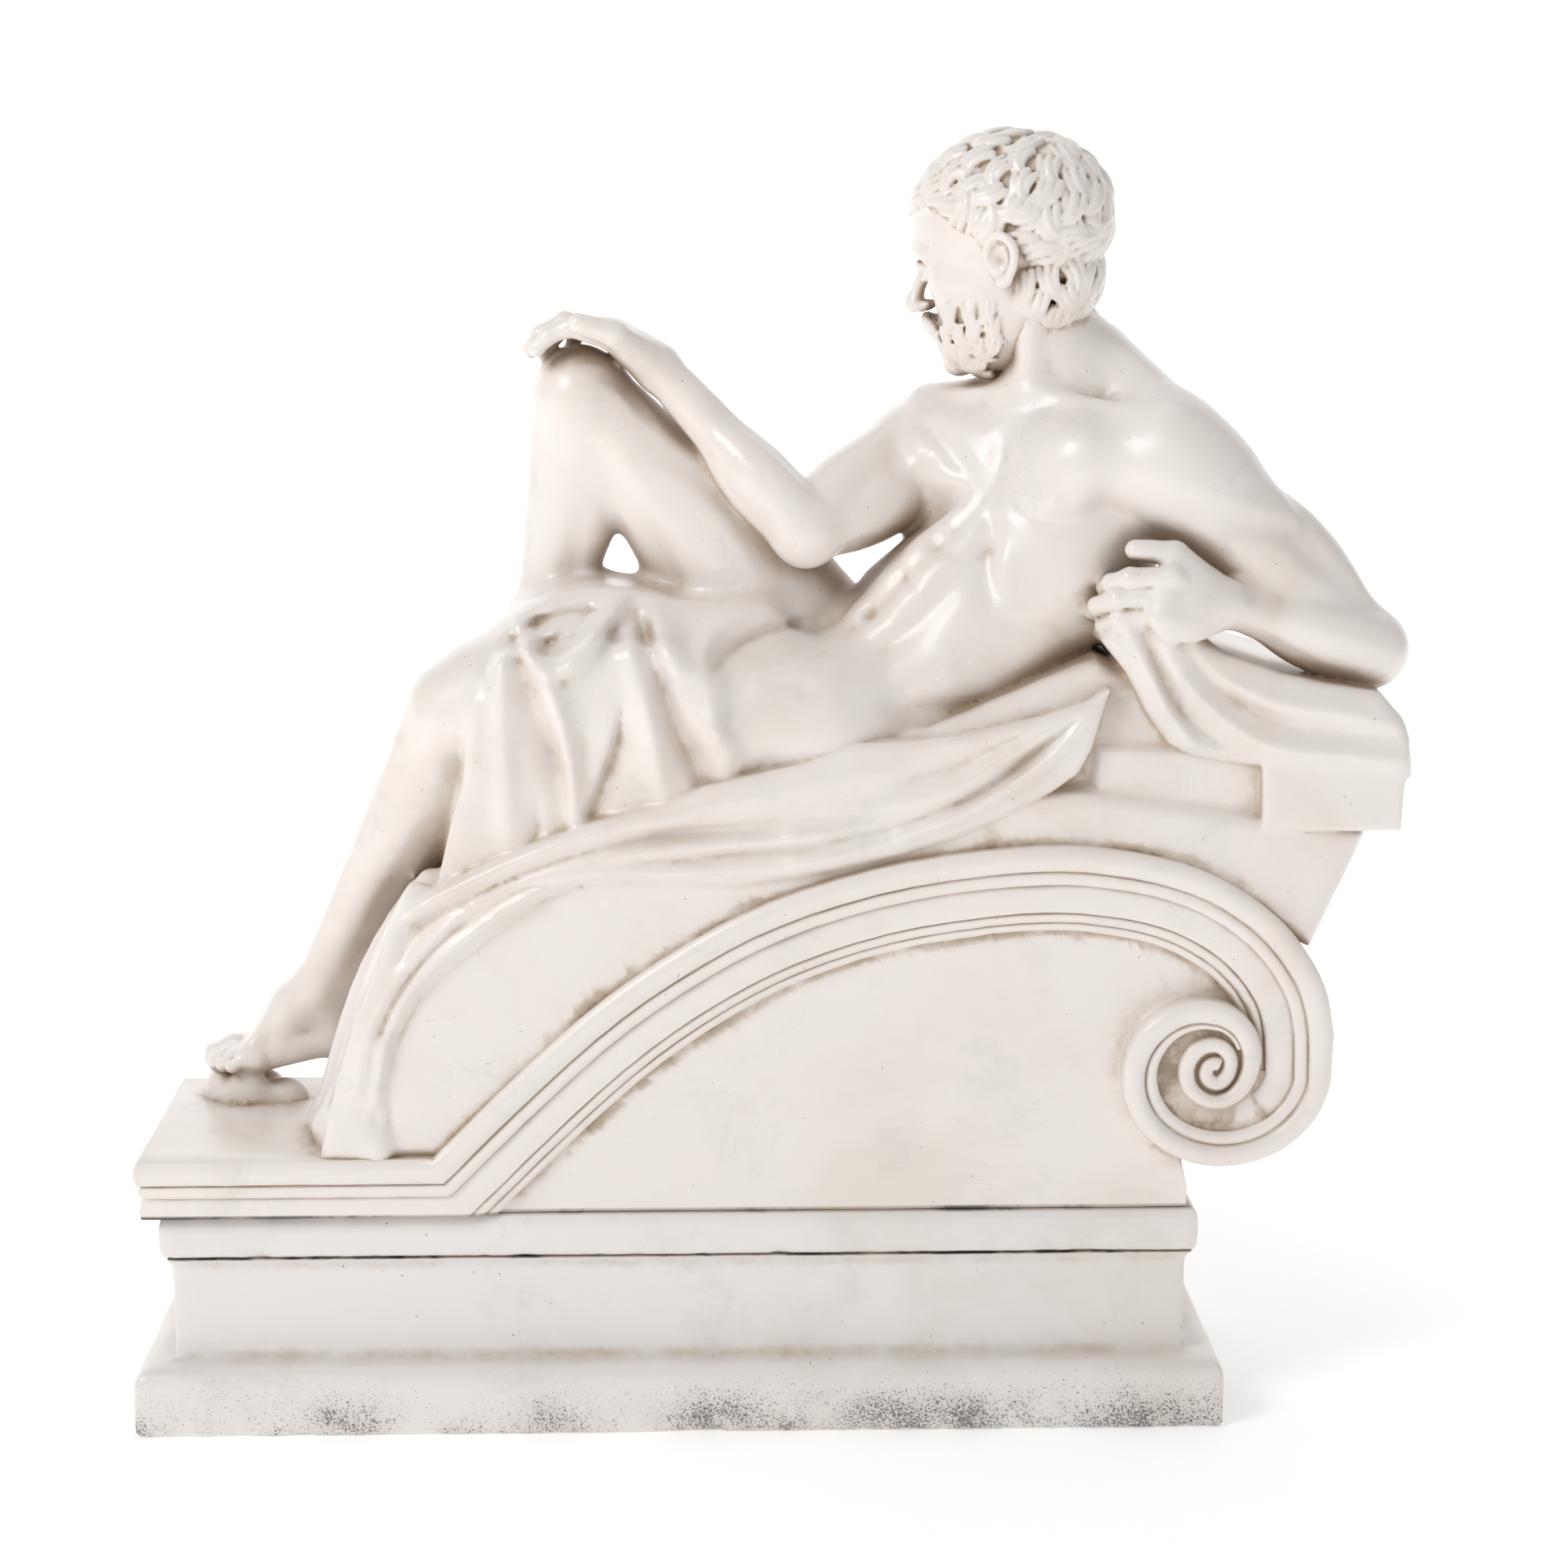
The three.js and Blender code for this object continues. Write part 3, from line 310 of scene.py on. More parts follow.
# --- clay
class Clay:
    """Clay on a regular grid, to which shapes are added and from which they are cut."""

    def __init__(self, low: Array, high: Array, cell: float) -> None:
        """Make an empty block of clay, with its grid on whole cells."""
        self.cell = cell
        self.first = np.floor(np.asarray(low, float) / cell).astype(int)
        self.count = np.ceil(np.asarray(high, float) / cell).astype(int) - self.first + 1
        self.values = np.full(self.count, FAR, np.float32)
        self.axes = [cell * (self.first[i] + np.arange(self.count[i])) for i in range(3)]

    def window(self, low: Array, high: Array, margin: float) -> tuple:
        """Give the grid ranges of a box and their coordinates."""
        a = np.floor((np.asarray(low) - margin) / self.cell).astype(int) - self.first
        b = np.ceil((np.asarray(high) + margin) / self.cell).astype(int) - self.first + 1
        a, b = np.clip(a, 0, self.count), np.clip(b, 0, self.count)
        where = tuple(slice(a[i], b[i]) for i in range(3))
        x, y, z = (self.axes[i][where[i]].astype(np.float32) for i in range(3))
        return where, x[:, None, None], y[None, :, None], z[None, None, :]

    def add(self, shape: Shape, blend: float = 8.0, sign: int = 1) -> "Clay":
        """Add a shape, run softly into what is there, or take it away where the sign is -1."""
        where, x, y, z = self.window(shape.low, shape.high, blend + 6)
        old = self.values[where]
        if old.size:
            self.values[where] = sign * smooth_min(sign * old, shape.distance(x, y, z), blend)
        return self

    def cut(self, shape: Shape, blend: float = 6.0) -> "Clay":
        """Take a shape away, with a soft edge."""
        return self.add(shape, blend, -1)

    def eggs(self, frame: Frame, *rows: tuple) -> None:
        """Add eggs, each given by its place in a frame, its three radii and its blend."""
        for f, r, u, *radii, blend in rows:
            self.add(egg(frame.point(f, r, u), radii, frame), blend)

    def merge(self, other: "Clay", blend: float = 4.0, joint: Array | None = None,
              soft: float = 22.0, reach: float = 55.0) -> "Clay":
        """Join another block of the same cell.

        Args:
            other: the block to join.
            blend: how softly the two run together away from the joint.
            joint: where they run together more softly.
            soft: how softly they do so at the joint.
            reach: how far from the joint the softness holds.

        Returns:
            This block.
        """
        offset = other.first - self.first
        low, high = np.maximum(offset, 0), np.minimum(offset + other.count, self.count)
        where = tuple(slice(low[i], high[i]) for i in range(3))
        there = tuple(slice(low[i] - offset[i], high[i] - offset[i]) for i in range(3))
        x, y, z = np.ix_(*(self.axes[i][where[i]].astype(np.float32) for i in range(3)))
        if joint is not None:
            away = np.sqrt((x - joint[0]) ** 2 + (y - joint[1]) ** 2 + (z - joint[2]) ** 2)
            blend = blend + (soft - blend) * (1 - ease((away - reach) / reach))
        self.values[where] = smooth_min(self.values[where], other.values[there], blend)
        return self

    def run(self, points: list, radii: list, blend: float = 8.0, steps: int = 9) -> "Clay":
        """Add a row of limbs along a smooth curve."""
        return self.add(chain(points, radii, steps), blend)

    def level(self, points: Array) -> Array:
        """Read the clay's distance at points, between the grid's own."""
        p = np.atleast_2d(points) / self.cell - self.first
        p = np.clip(p, 0, self.count - 1.001)
        i = p.astype(int)
        return blend_corners(i, p - i, lambda at: self.values[tuple(at.T)])

    def skin(self, origin: Array, direction: Array, reach: float = 160.0) -> Array:
        """Find where a ray from inside leaves the clay."""
        steps = np.arange(0, reach, self.cell * 0.5)
        points = np.asarray(origin, float) + steps[:, None] * unit(direction)
        out = np.nonzero(self.level(points) > 0)[0]
        return points[out[0]] if len(out) else points[-1]

    def trace(self, origins: list, directions: list, count: int = 17) -> Array:
        """Find a smooth line on the surface, as seen from inside the clay.

        Args:
            origins: points inside the clay.
            directions: the way out from each.
            count: how many points to give.

        Returns:
            Points on the surface.
        """
        inner, ways = smooth_path(origins, count), smooth_path(directions, count)
        return np.array([self.skin(o, w) for o, w in zip(inner, ways)])

    def press(self, path: Array, heights: tuple, widths: tuple) -> "Clay":
        """Raise or sink the surface along a line on it.

        Args:
            path: points on the surface.
            heights: how far it rises along the line, or sinks where below zero.
            widths: half-widths along the line.

        Returns:
            This block.
        """
        reach = 2.4 * max(widths)
        where, x, y, z = self.window(path.min(0), path.max(0), reach)
        block = self.values[where]
        i, j, k = np.nonzero(np.abs(block) < 16)
        place = np.stack([x.ravel()[i], y.ravel()[j], z.ravel()[k]], 1)
        nearest = np.full(len(place), 1e9, np.float32)
        share = np.zeros(len(place), np.float32)
        for n in range(len(path) - 1):
            step = (path[n + 1] - path[n]).astype(np.float32)
            off = place - path[n].astype(np.float32)
            t = np.clip(off @ step / (step @ step + 1e-9), 0, 1)
            away = ((off - t[:, None] * step) ** 2).sum(1)
            closer = away < nearest
            nearest[closer] = away[closer]
            share[closer] = (n + t[closer]) / (len(path) - 1)
        height = along(share, heights) * np.exp(-nearest / along(share, widths) ** 2)
        block[i, j, k] -= height.astype(np.float32)
        return self

    def settle(self) -> None:
        """Close the block's sides and fill grid points where the surface would touch itself."""
        most_rounds = 10
        for axis in range(3):
            layers = np.moveaxis(self.values, axis, 0)
            layers[:2] = layers[-2:] = self.cell
        for _ in range(most_rounds):
            inside = self.values < 0
            changed = 0
            for u, w in (([1, 0, 0], [0, 1, 0]), ([0, 1, 0], [0, 0, 1]), ([1, 0, 0], [0, 0, 1])):
                ring = np.array([[0, 0, 0], u, w, np.add(u, w)])
                sizes = inside.shape - ring[3]
                s00, s10, s01, s11 = (inside[tuple(slice(o, o + n) for o, n in zip(step, sizes))]
                                      for step in ring)
                for spot in np.argwhere((s00 == s11) & (s10 == s01) & (s00 != s10)):
                    self._fill_least(spot + ring)
                    changed += 1
            for spot in self._touching_cells():
                self._fill_least(spot + CORNERS[:, ::-1])
                changed += 1
            if not changed:
                return

    def _fill_least(self, places: Array) -> None:
        """Fill the one of some empty grid points that lies nearest to the surface."""
        outside = [at for at in map(tuple, places) if self.values[at] >= 0]
        if outside:
            self.values[min(outside, key=lambda at: self.values[at])] = -0.05 * self.cell

    def _touching_cells(self) -> Array:
        """Find cells where only two opposite corners are filled, or only two are empty."""
        total = self._filled_corners(self.values < 0)
        cells = np.argwhere((total == 2) | (total == 6))
        filled = np.stack([self.values[tuple((cells + c).T)] < 0 for c in CORNERS], 1)
        odd = filled ^ (total[tuple(cells.T)] == 6)[:, None]
        return cells[(odd[:, :4] & odd[:, :3:-1]).any(1)]

    def _filled_corners(self, inside: Array) -> Array:
        """Count the filled corners of every cell."""
        total = np.zeros(self.count - 1, np.uint8)
        for corner in CORNERS:
            total += inside[tuple(slice(c, c + n) for c, n in zip(corner, total.shape))]
        return total

    def surface(self) -> tuple[Array, Array]:
        """Give the surface as points, in millimetres, and four-sided faces."""
        self.settle()
        v = self.values
        inside = v < 0
        total = self._filled_corners(inside)
        cells = np.argwhere((total > 0) & (total < 8))
        index = np.full(total.shape, -1, np.int32)
        index[tuple(cells.T)] = np.arange(len(cells))
        level = np.stack([v[tuple((cells + c).T)] for c in CORNERS], 1)
        place = np.zeros((len(cells), 3))
        crossings = np.zeros(len(cells))
        for a in range(8):
            for axis in range(3):
                b = a | (1 << axis)
                if b == a:
                    continue
                crossed = (level[:, a] < 0) != (level[:, b] < 0)
                t = level[crossed, a] / (level[crossed, a] - level[crossed, b])
                place[crossed] += CORNERS[a] + t[:, None] * (CORNERS[b] - CORNERS[a])
                crossings[crossed] += 1
        points = (self.first + cells + place / crossings[:, None]) * self.cell
        faces = []
        for axis in range(3):
            u, w = (axis + 1) % 3, (axis + 2) % 3
            lower = [slice(1, -1)] * 3
            upper = list(lower)
            upper[axis] = slice(2, None)
            here, there = inside[tuple(lower)], inside[tuple(upper)]
            spots = np.argwhere(here != there) + 1
            outward = inside[tuple(spots.T)]
            ring = []
            for du, dw in ((0, 0), (1, 0), (1, 1), (0, 1)):
                cell = spots.copy()
                cell[:, u] -= du
                cell[:, w] -= dw
                ring.append(index[tuple(cell.T)])
            quads = np.stack(ring, 1)
            quads[~outward] = quads[~outward][:, ::-1]
            faces.append(quads)
        return points, np.vstack(faces)


# --- the reclining man
@dataclass
class Pose:
    """Places of the joints, in millimetres from the centre of the plinth's underside."""

    pelvis: Place = (130, 3, 520)
    waist: Place = (205, -2, 600)
    chest: Place = (264, 5, 668)
    neck: Place = (292, 8, 745)
    skull: Place = (243, 4, 873)
    near_shoulder: Place = (354, -56, 706)
    near_elbow: Place = (499, -60, 573)
    near_wrist: Place = (386, -96, 612)
    far_shoulder: Place = (200, 66, 712)
    far_elbow: Place = (94, -26, 655)
    far_wrist: Place = (-14, 12, 772)
    near_hip: Place = (106, -40, 515)
    near_knee: Place = (-160, -44, 527)
    near_ankle: Place = (-276, 48, 300)
    far_hip: Place = (120, 45, 532)
    far_knee: Place = (-70, 30, 750)
    far_ankle: Place = (-110, 62, 512)

    def __post_init__(self) -> None:
        """Turn every place into a vector."""
        for name, place in vars(self).items():
            setattr(self, name, vec(*place))

    @property
    def ribs(self) -> Frame:
        """The rib cage, facing out of the breastbone, its up towards the neck."""
        return Frame.facing(self.chest, vec(-0.62, -0.72, 0.3), vec(0.2, 0.2, 0.95))

    @property
    def basin(self) -> Frame:
        """The pelvis, facing out of the lower belly, its up towards the waist."""
        return Frame.facing(self.pelvis, vec(-0.58, -0.6, 0.55), vec(0.67, 0, 0.74))

    @property
    def face(self) -> Frame:
        """The head, facing the way it looks."""
        return Frame.facing(self.skull, vec(-0.9, 0.4, -0.2), vec(-0.1, 0, 1))


@dataclass
class Torso:
    """Rib cage, belly, pelvis, neck and shoulder girdle.

    Lines on it are given by a place along the spine, from 0 at the pelvis over 1 at the waist and 2 at
    the chest to 3 at the neck, and by an angle in degrees from the front towards the body's right.
    """

    pose: Pose

    def model(self, cell: float) -> Clay:
        """Model the torso in clay."""
        p, ribs = self.pose, self.pose.ribs
        clay = Clay((20, -150, 430), (450, 145, 890), cell)
        clay.add(egg(p.pelvis, (60, 76, 54)))
        clay.add(limb(p.pelvis, p.waist, 56, 60), 20)
        clay.add(limb(vec(150, -26, 522), vec(288, -10, 626), 50, 58), 20)
        clay.eggs(ribs, (0, 0, 0, 64, 97, 92, 24))
        clay.add(limb(p.neck, between(p.neck, p.skull, 0.8), 37, 34), 14)
        self._girdle(clay)
        self._chest(clay)
        self._belly(clay)
        self._back(clay)
        return clay

    def _lines(self, clay: Clay, *rows: tuple) -> None:
        """Raise or sink lines, each given by its places, heights and half-widths."""
        for row in rows:
            self._line(clay, *row)

    def _line(self, clay: Clay, places: list, heights: tuple, widths: tuple) -> None:
        """Raise or sink a line given by places along the spine and angles, on both sides."""
        p = self.pose
        spine = [p.pelvis, p.waist, p.chest, p.neck]
        facing = [p.basin.forward, unit(p.basin.forward + p.ribs.forward), p.ribs.forward,
                  p.ribs.forward]
        for side in (1, -1) if any(angle for _, angle in places) else (1,):
            origins, ways = [], []
            for t, angle in places:
                k = int(min(max(t, 0), 2))
                axis = unit(spine[k + 1] - spine[k])
                front = between(facing[k], facing[k + 1], t - k)
                front = unit(front - axis * front.dot(axis))
                turn = math.radians(angle * side)
                origins.append(between(spine[k], spine[k + 1], t - k))
                ways.append(front * math.cos(turn) + np.cross(front, axis) * math.sin(turn))
            clay.press(clay.trace(origins, ways), heights, widths)

    def _girdle(self, clay: Clay) -> None:
        """Add the trapezius, the neck muscles and the collar bones."""
        p, ribs, face = self.pose, self.pose.ribs, self.pose.face
        clay.add(limb(p.neck + vec(12, 8, 26), vec(350, -38, 730), 33, 29), 18)
        clay.add(limb(p.neck + vec(-6, 8, 20), vec(212, 60, 730), 25, 22), 18)
        notch = ribs.point(50, 0, 76)
        clay.add(limb(p.neck, ribs.point(20, 0, 60), 34, 40), 18)
        for s, tip in ((-1, vec(348, -72, 736)), (1, vec(188, 46, 746))):
            mastoid = face.point(-20, 33 * s, -40)
            clay.run([mastoid, between(mastoid, notch, 0.5), notch + ribs.right * 8 * s],
                     [9, 8, 5], 18)
            start = ribs.point(50, 10 * s, 74)
            clay.run([start, between(start, tip, 0.45) + ribs.forward * 5, tip], [6, 6, 7], 12)

    def _chest(self, clay: Clay) -> None:
        """Add the breast muscles and the ribs below them."""
        ribs = self.pose.ribs
        for side in Side:
            s = side.value
            clay.eggs(ribs, (44, 45 * s, 28, 24, 42, 36, 14))
            arm = self.pose.near_shoulder if side is Side.LEFT else self.pose.far_shoulder
            clay.add(limb(ribs.point(38, 62 * s, 36), arm, 26, 24), 14)
        self._lines(
            clay,
            ([(2.6, 0), (2.3, 0), (1.9, 0)], (-1, -4, -3), (9, 8, 8)),
            ([(1.88, 3), (1.84, 24), (1.92, 46), (2.12, 66), (2.35, 80)],
             (-1, -4, -4.5, -4, -1), (8, 8, 8, 9, 10)),
            ([(2.02, 18), (2.02, 34), (2.12, 50)], (2, 4, 2), (14,)),
            ([(2.12, 42), (2.13, 44)], (2.0,), (3.2,)),
            ([(1.78, 2), (1.62, 20), (1.36, 38), (1.12, 56)], (-2, -5, -5, -2), (8, 9, 10, 10)),
            ([(1.66, 30), (1.46, 44), (1.26, 60)], (0, 3.5, 1), (9, 9, 10)))
        for i in range(4):
            low = 1.86 - 0.17 * i
            self._lines(
                clay,
                ([(low + 0.2, 96), (low, 80), (low - 0.2, 62 - 2 * i)], (0, 3, 0), (9, 9, 8)),
                ([(low + 0.1, 98), (low - 0.09, 82), (low - 0.27, 66)], (0, -2, 0), (7,)))

    def _belly(self, clay: Clay) -> None:
        """Add the belly's muscles, its creases and the navel."""
        for low, high, height in ((1.3, 1.5, 3), (0.98, 1.16, 3), (0.68, 0.84, 3), (0.15, 0.48, 3)):
            self._line(clay, [(high, 14), (low, 14)], (height, height), (15, 16))
        self._line(clay, [(1.72, 0), (1.2, 0), (0.62, 0), (0.3, 0)], (-2, -3.5, -3.5, 0), (6,))
        for t, depth in ((1.22, -2.2), (0.91, -2.2), (0.6, -1.5)):
            self._line(clay, [(t, 0), (t + 0.03, 14), (t + 0.07, 27)], (depth, depth, 0), (6,))
        self._lines(
            clay,
            ([(1.45, 30), (1.0, 30), (0.6, 30), (0.2, 22)], (-2, -4, -4, -1), (8, 9, 9, 9)),
            ([(1.0, 62), (0.72, 62), (0.5, 50)], (2, 6, 3), (17, 18, 14)),
            ([(0.72, 100), (0.4, 72), (0.12, 46), (-0.12, 24)], (-2, -5, -5, -3), (9,)),
            ([(0.585, 0), (0.575, 0)], (-6,), (4.5,)))

    def _back(self, clay: Clay) -> None:
        """Add the shoulder blades, the back's long muscles and the furrow between them."""
        ribs = self.pose.ribs
        for side in Side:
            s = side.value
            clay.eggs(ribs, (-44, 46 * s, 26, 20, 32, 44, 16))
            clay.add(limb(ribs.point(-18, 80 * s, 12), ribs.point(-6, 60 * s, -70), 22, 16), 18)
        self._lines(
            clay,
            ([(2.9, 180), (2.0, 180), (1.0, 180), (0.1, 180)], (-2, -4, -6, -3), (9,)),
            ([(1.7, 160), (1.0, 158), (0.3, 160)], (2, 5, 2), (12, 13, 12)),
            ([(2.5, 160), (2.1, 156), (1.8, 146), (1.9, 120)], (-1, -4, -4, -1), (8,)))


@dataclass
class Arm:
    """One arm with its shoulder muscle."""

    shoulder: Array
    elbow: Array
    wrist: Array
    girth: float

    def model(self, clay: Clay) -> Clay:
        """Model the arm into a block of clay.

        Args:
            clay: the block that takes it.

        Returns:
            The block.
        """
        s, e, w, g = self.shoulder, self.elbow, self.wrist, self.girth
        upper = Frame.facing(s, e - s, e - w)
        lower = Frame.facing(e, w - e, e - s)
        reach, fore = np.linalg.norm(e - s), np.linalg.norm(w - e)
        clay.add(limb(s, e, 42 * g, 27 * g))
        clay.eggs(upper, (16, 0, 2, 60 * g, 45 * g, 46 * g, 14),
                  (0.56 * reach, 0, -15 * g, 64 * g, 26 * g, 25 * g, 12),
                  (0.5 * reach, 8 * g, 15 * g, 66 * g, 26 * g, 25 * g, 12),
                  (0.52 * reach, -12 * g, 12 * g, 58 * g, 22 * g, 24 * g, 12))
        clay.add(limb(e, w, 25 * g, 16 * g), 10)
        clay.eggs(lower, (1, 0, 7, 20 * g, 17 * g, 17 * g, 10),
                  (0.27 * fore, 9 * g, 3, 50 * g, 22 * g, 22 * g, 12),
                  (0.3 * fore, -9 * g, 2, 48 * g, 20 * g, 22 * g, 12),
                  (fore - 4, 0, 3, 14, 18 * g, 13, 8))
        self._lines(
            clay, (1, -1),
            (upper, reach, ((0.42, 100), (0.62, 92), (0.84, 84)), (-1, -4.5, -2), (8, 9, 8)),
            (upper, reach, ((0.12, 158), (0.34, 120), (0.5, 78), (0.4, 46), (0.2, 24)),
             (-2, -4.5, -4, -3, -1), (9, 9, 9, 9, 10)),
            (lower, fore, ((0.06, 120), (0.36, 110), (0.72, 100)), (-2, -3, -1), (7,)))
        self._lines(
            clay, (1,),
            (lower, fore, ((0.3, 0), (0.65, 4), (0.95, 10)), (-1, -2, -1), (5,)),
            (upper, reach, ((0.55, 14), (0.8, 10), (0.92, 2)), (0, -3, -2), (9, 9, 8)))
        return clay

    def _lines(self, clay: Clay, sides: tuple, *rows: tuple) -> None:
        """Raise or sink lines on some sides of a limb.

        Args:
            clay: the block that holds the limb.
            sides: 1 for the lines as they are given, -1 for their mirror image.
            *rows: for each line its bone, the bone's length, its places as shares of the bone and
                angles from the outer side, its heights and its half-widths.
        """
        for side in sides:
            for bone, length, places, heights, widths in rows:
                origins = [bone.point(t * length, 0, 0) for t, _ in places]
                turns = [math.radians(a * side) for _, a in places]
                ways = [bone.turn(0, math.sin(turn), math.cos(turn)) for turn in turns]
                clay.press(clay.trace(origins, ways), heights, widths)


@dataclass
class Hand:
    """A hand resting over an edge: palm, four bent fingers and a thumb."""

    wrist: Array
    knuckles: Array
    across: Array
    palm_side: Array
    thumb_side: Array
    curl: tuple = (0.35, 0.75, 0.5)

    def model(self, clay: Clay) -> Clay:
        """Model the hand into a block of clay."""
        palm = between(self.wrist, self.knuckles, 0.58)
        frame = Frame.facing(palm, self.knuckles - self.wrist, -self.palm_side)
        clay.add(limb(self.wrist, between(self.wrist, self.knuckles, 0.4), 15, 14), 8)
        clay.add(egg(palm, (33, 28, 13), frame), 8)
        across = unit(self.across)
        sizes = ((30, 17, 13, 7.8, 3), (33, 20, 14, 8.0, 0), (31, 18, 14, 7.6, 3), (25, 14, 12, 6.7, 7))
        for i, (first, second, third, radius, set_back) in enumerate(sizes):
            spread = (1.5 - i) * 13.2
            root = self.knuckles + across * spread - frame.forward * set_back
            way = unit(frame.forward + across * (1.5 - i) * 0.07)
            clay.add(limb(between(self.wrist, root, 0.45), root, 7, 7.6), 6)
            clay.add(ball(root + frame.up * 1.5, radius + 0.6), 5)
            angle, start = 0.0, root
            for length, bend, size in zip((first, second, third), self.curl, (1.0, 0.9, 0.8)):
                angle += bend * (0.9 + 0.08 * i)
                step = way * math.cos(angle) - frame.up * math.sin(angle)
                end = start + step * length
                clay.add(limb(start, end, radius * size, radius * size * 0.9), 2.2)
                clay.add(ball(end, radius * size * 0.93), 1.5)
                start = end
        base = between(self.wrist, self.knuckles, 0.3) + unit(self.thumb_side) * 14
        middle = base + unit(self.thumb_side * 0.75 + frame.forward * 0.8) * 30
        tip = middle + unit(self.thumb_side * 0.25 + frame.forward - frame.up * 0.35) * 28
        clay.add(limb(base, middle, 11.5, 9.5), 7).add(limb(middle, tip, 9.3, 7.4), 3)
        return clay


@dataclass
class Leg:
    """One leg from hip to ankle."""

    hip: Array
    knee: Array
    ankle: Array
    thigh: float

    def model(self, clay: Clay) -> Clay:
        """Model the leg into a block of clay."""
        h, k, a, g = self.hip, self.knee, self.ankle, self.thigh
        upper = Frame.facing(h, k - h, k - a)
        lower = Frame.facing(k, a - k, k - h)
        reach, shank = np.linalg.norm(k - h), np.linalg.norm(a - k)
        clay.add(limb(h, k, 60 * g, 34))
        clay.eggs(upper, (0.42 * reach, 0, 10, 120, 50 * g, 46 * g, 18),
                  (0.45 * reach, -18, 4, 105, 32 * g, 38 * g, 16),
                  (0.45 * reach, 16, 0, 110, 34 * g, 38 * g, 16),
                  (0.36 * reach, 0, -18, 100, 44 * g, 34 * g, 16),
                  (0.8 * reach, -17, 12, 36, 18, 18, 12), (0.76 * reach, 17, 12, 36, 18, 18, 12))
        clay.add(egg(k, (29, 34, 32), upper), 10)
        front = unit(upper.up + lower.up)
        patella = k + front * 24
        clay.add(egg(patella, (10, 15, 17), Frame.facing(patella, front, lower.forward)), 9)
        clay.run([patella + lower.forward * 8, lower.point(26, 0, 24), lower.point(40, 0, 20)],
                 [9, 7.5, 8], 9)
        clay.add(limb(k, a, 31, 16), 10)
        clay.eggs(lower, (0.3 * shank, -10, -16, 68, 21, 25, 13),
                  (0.34 * shank, 11, -14, 64, 20, 24, 13), (0.3 * shank, 11, 7, 62, 14, 18, 12))
        clay.run([lower.point(40, -3, 20), lower.point(0.5 * shank, -4, 15),
                  lower.point(shank - 6, -3, 10)], [8, 7, 6.5], 10)
        clay.run([lower.point(0.55 * shank, 0, -18), lower.point(shank - 8, 0, -16),
                  lower.point(shank + 12, 0, -15)], [12, 8, 9.5], 10)
        clay.eggs(lower, (shank - 2, -14, 0, 10, 7, 8.5, 7), (shank + 4, 14, 0, 10, 7, 8.5, 7))
        self._lines(
            clay, (1, -1),
            (upper, reach, ((0.35, 62), (0.6, 50), (0.82, 62)), (-1, -4, -2), (9, 10, 9)),
            (upper, reach, ((0.3, 128), (0.62, 118), (0.88, 110)), (-1, -4, -3), (10, 10, 9)),
            (upper, reach, ((0.86, 40), (0.95, 28), (1.02, 52)), (-1, -3.5, -2), (7,)),
            (lower, shank, ((0.16, 40), (0.4, 30), (0.8, 40)), (-1, -2.5, -1), (7, 7, 6)),
            (lower, shank, ((0.3, 112), (0.55, 122), (0.85, 140)), (-1, -3.5, -3), (8, 8, 7)))
        self._lines(clay, (1,), (lower, shank, ((0.15, 180), (0.35, 178), (0.52, 180)), (-1, -3, -1),
                                 (7,)))
        return clay

    _lines = Arm._lines


@dataclass
class Foot:
    """A foot from its ankle, heel and ball to its toes."""

    ankle: Array
    heel: Array
    ball_of_foot: Array
    toe_way: Array
    sole: Array
    little_side: float

    def model(self, clay: Clay) -> Clay:
        """Model the foot into a block of clay."""
        frame = Frame.facing(self.ball_of_foot, self.toe_way, -self.sole)
        side = frame.right * self.little_side
        clay.add(limb(self.ankle, self.heel, 19, 17), 9)
        instep = between(self.ankle, self.ball_of_foot, 0.35) + frame.up * 2
        clay.add(limb(instep, self.ball_of_foot - frame.forward * 6, 20, 13), 12)
        clay.add(limb(self.heel, self.ball_of_foot + side * 12, 15, 12), 10)
        clay.add(limb(self.ball_of_foot - side * 14, self.ball_of_foot + side * 17, 12.5, 10), 6)
        sizes = ((34, 10.0, -19), (31, 7.6, -6), (28, 7.2, 4.5), (24, 6.8, 14.5), (19, 6.2, 23.5))
        for length, radius, across in sizes:
            root = self.ball_of_foot + side * across + frame.forward * (2 - 0.3 * abs(across))
            middle = root + frame.forward * length * 0.55 + frame.up * 3
            tip = root + frame.forward * length - frame.up * 1.5
            clay.add(limb(root, middle, radius, radius * 0.92), 4)
            clay.add(limb(middle, tip, radius * 0.92, radius * 0.95), 2)
            nail = tip + frame.up * radius * 0.95 + frame.forward * 2
            clay.cut(egg(nail, (4.5, 4.2 * radius / 8, 1.6), frame), 1.5)
        for across in (-12, -2, 8, 17):
            end = self.ball_of_foot + side * across + frame.up * 9
            clay.run([instep + frame.up * 15 + side * across * 0.3, end], [3.5, 3.5], 6, 3)
        return clay


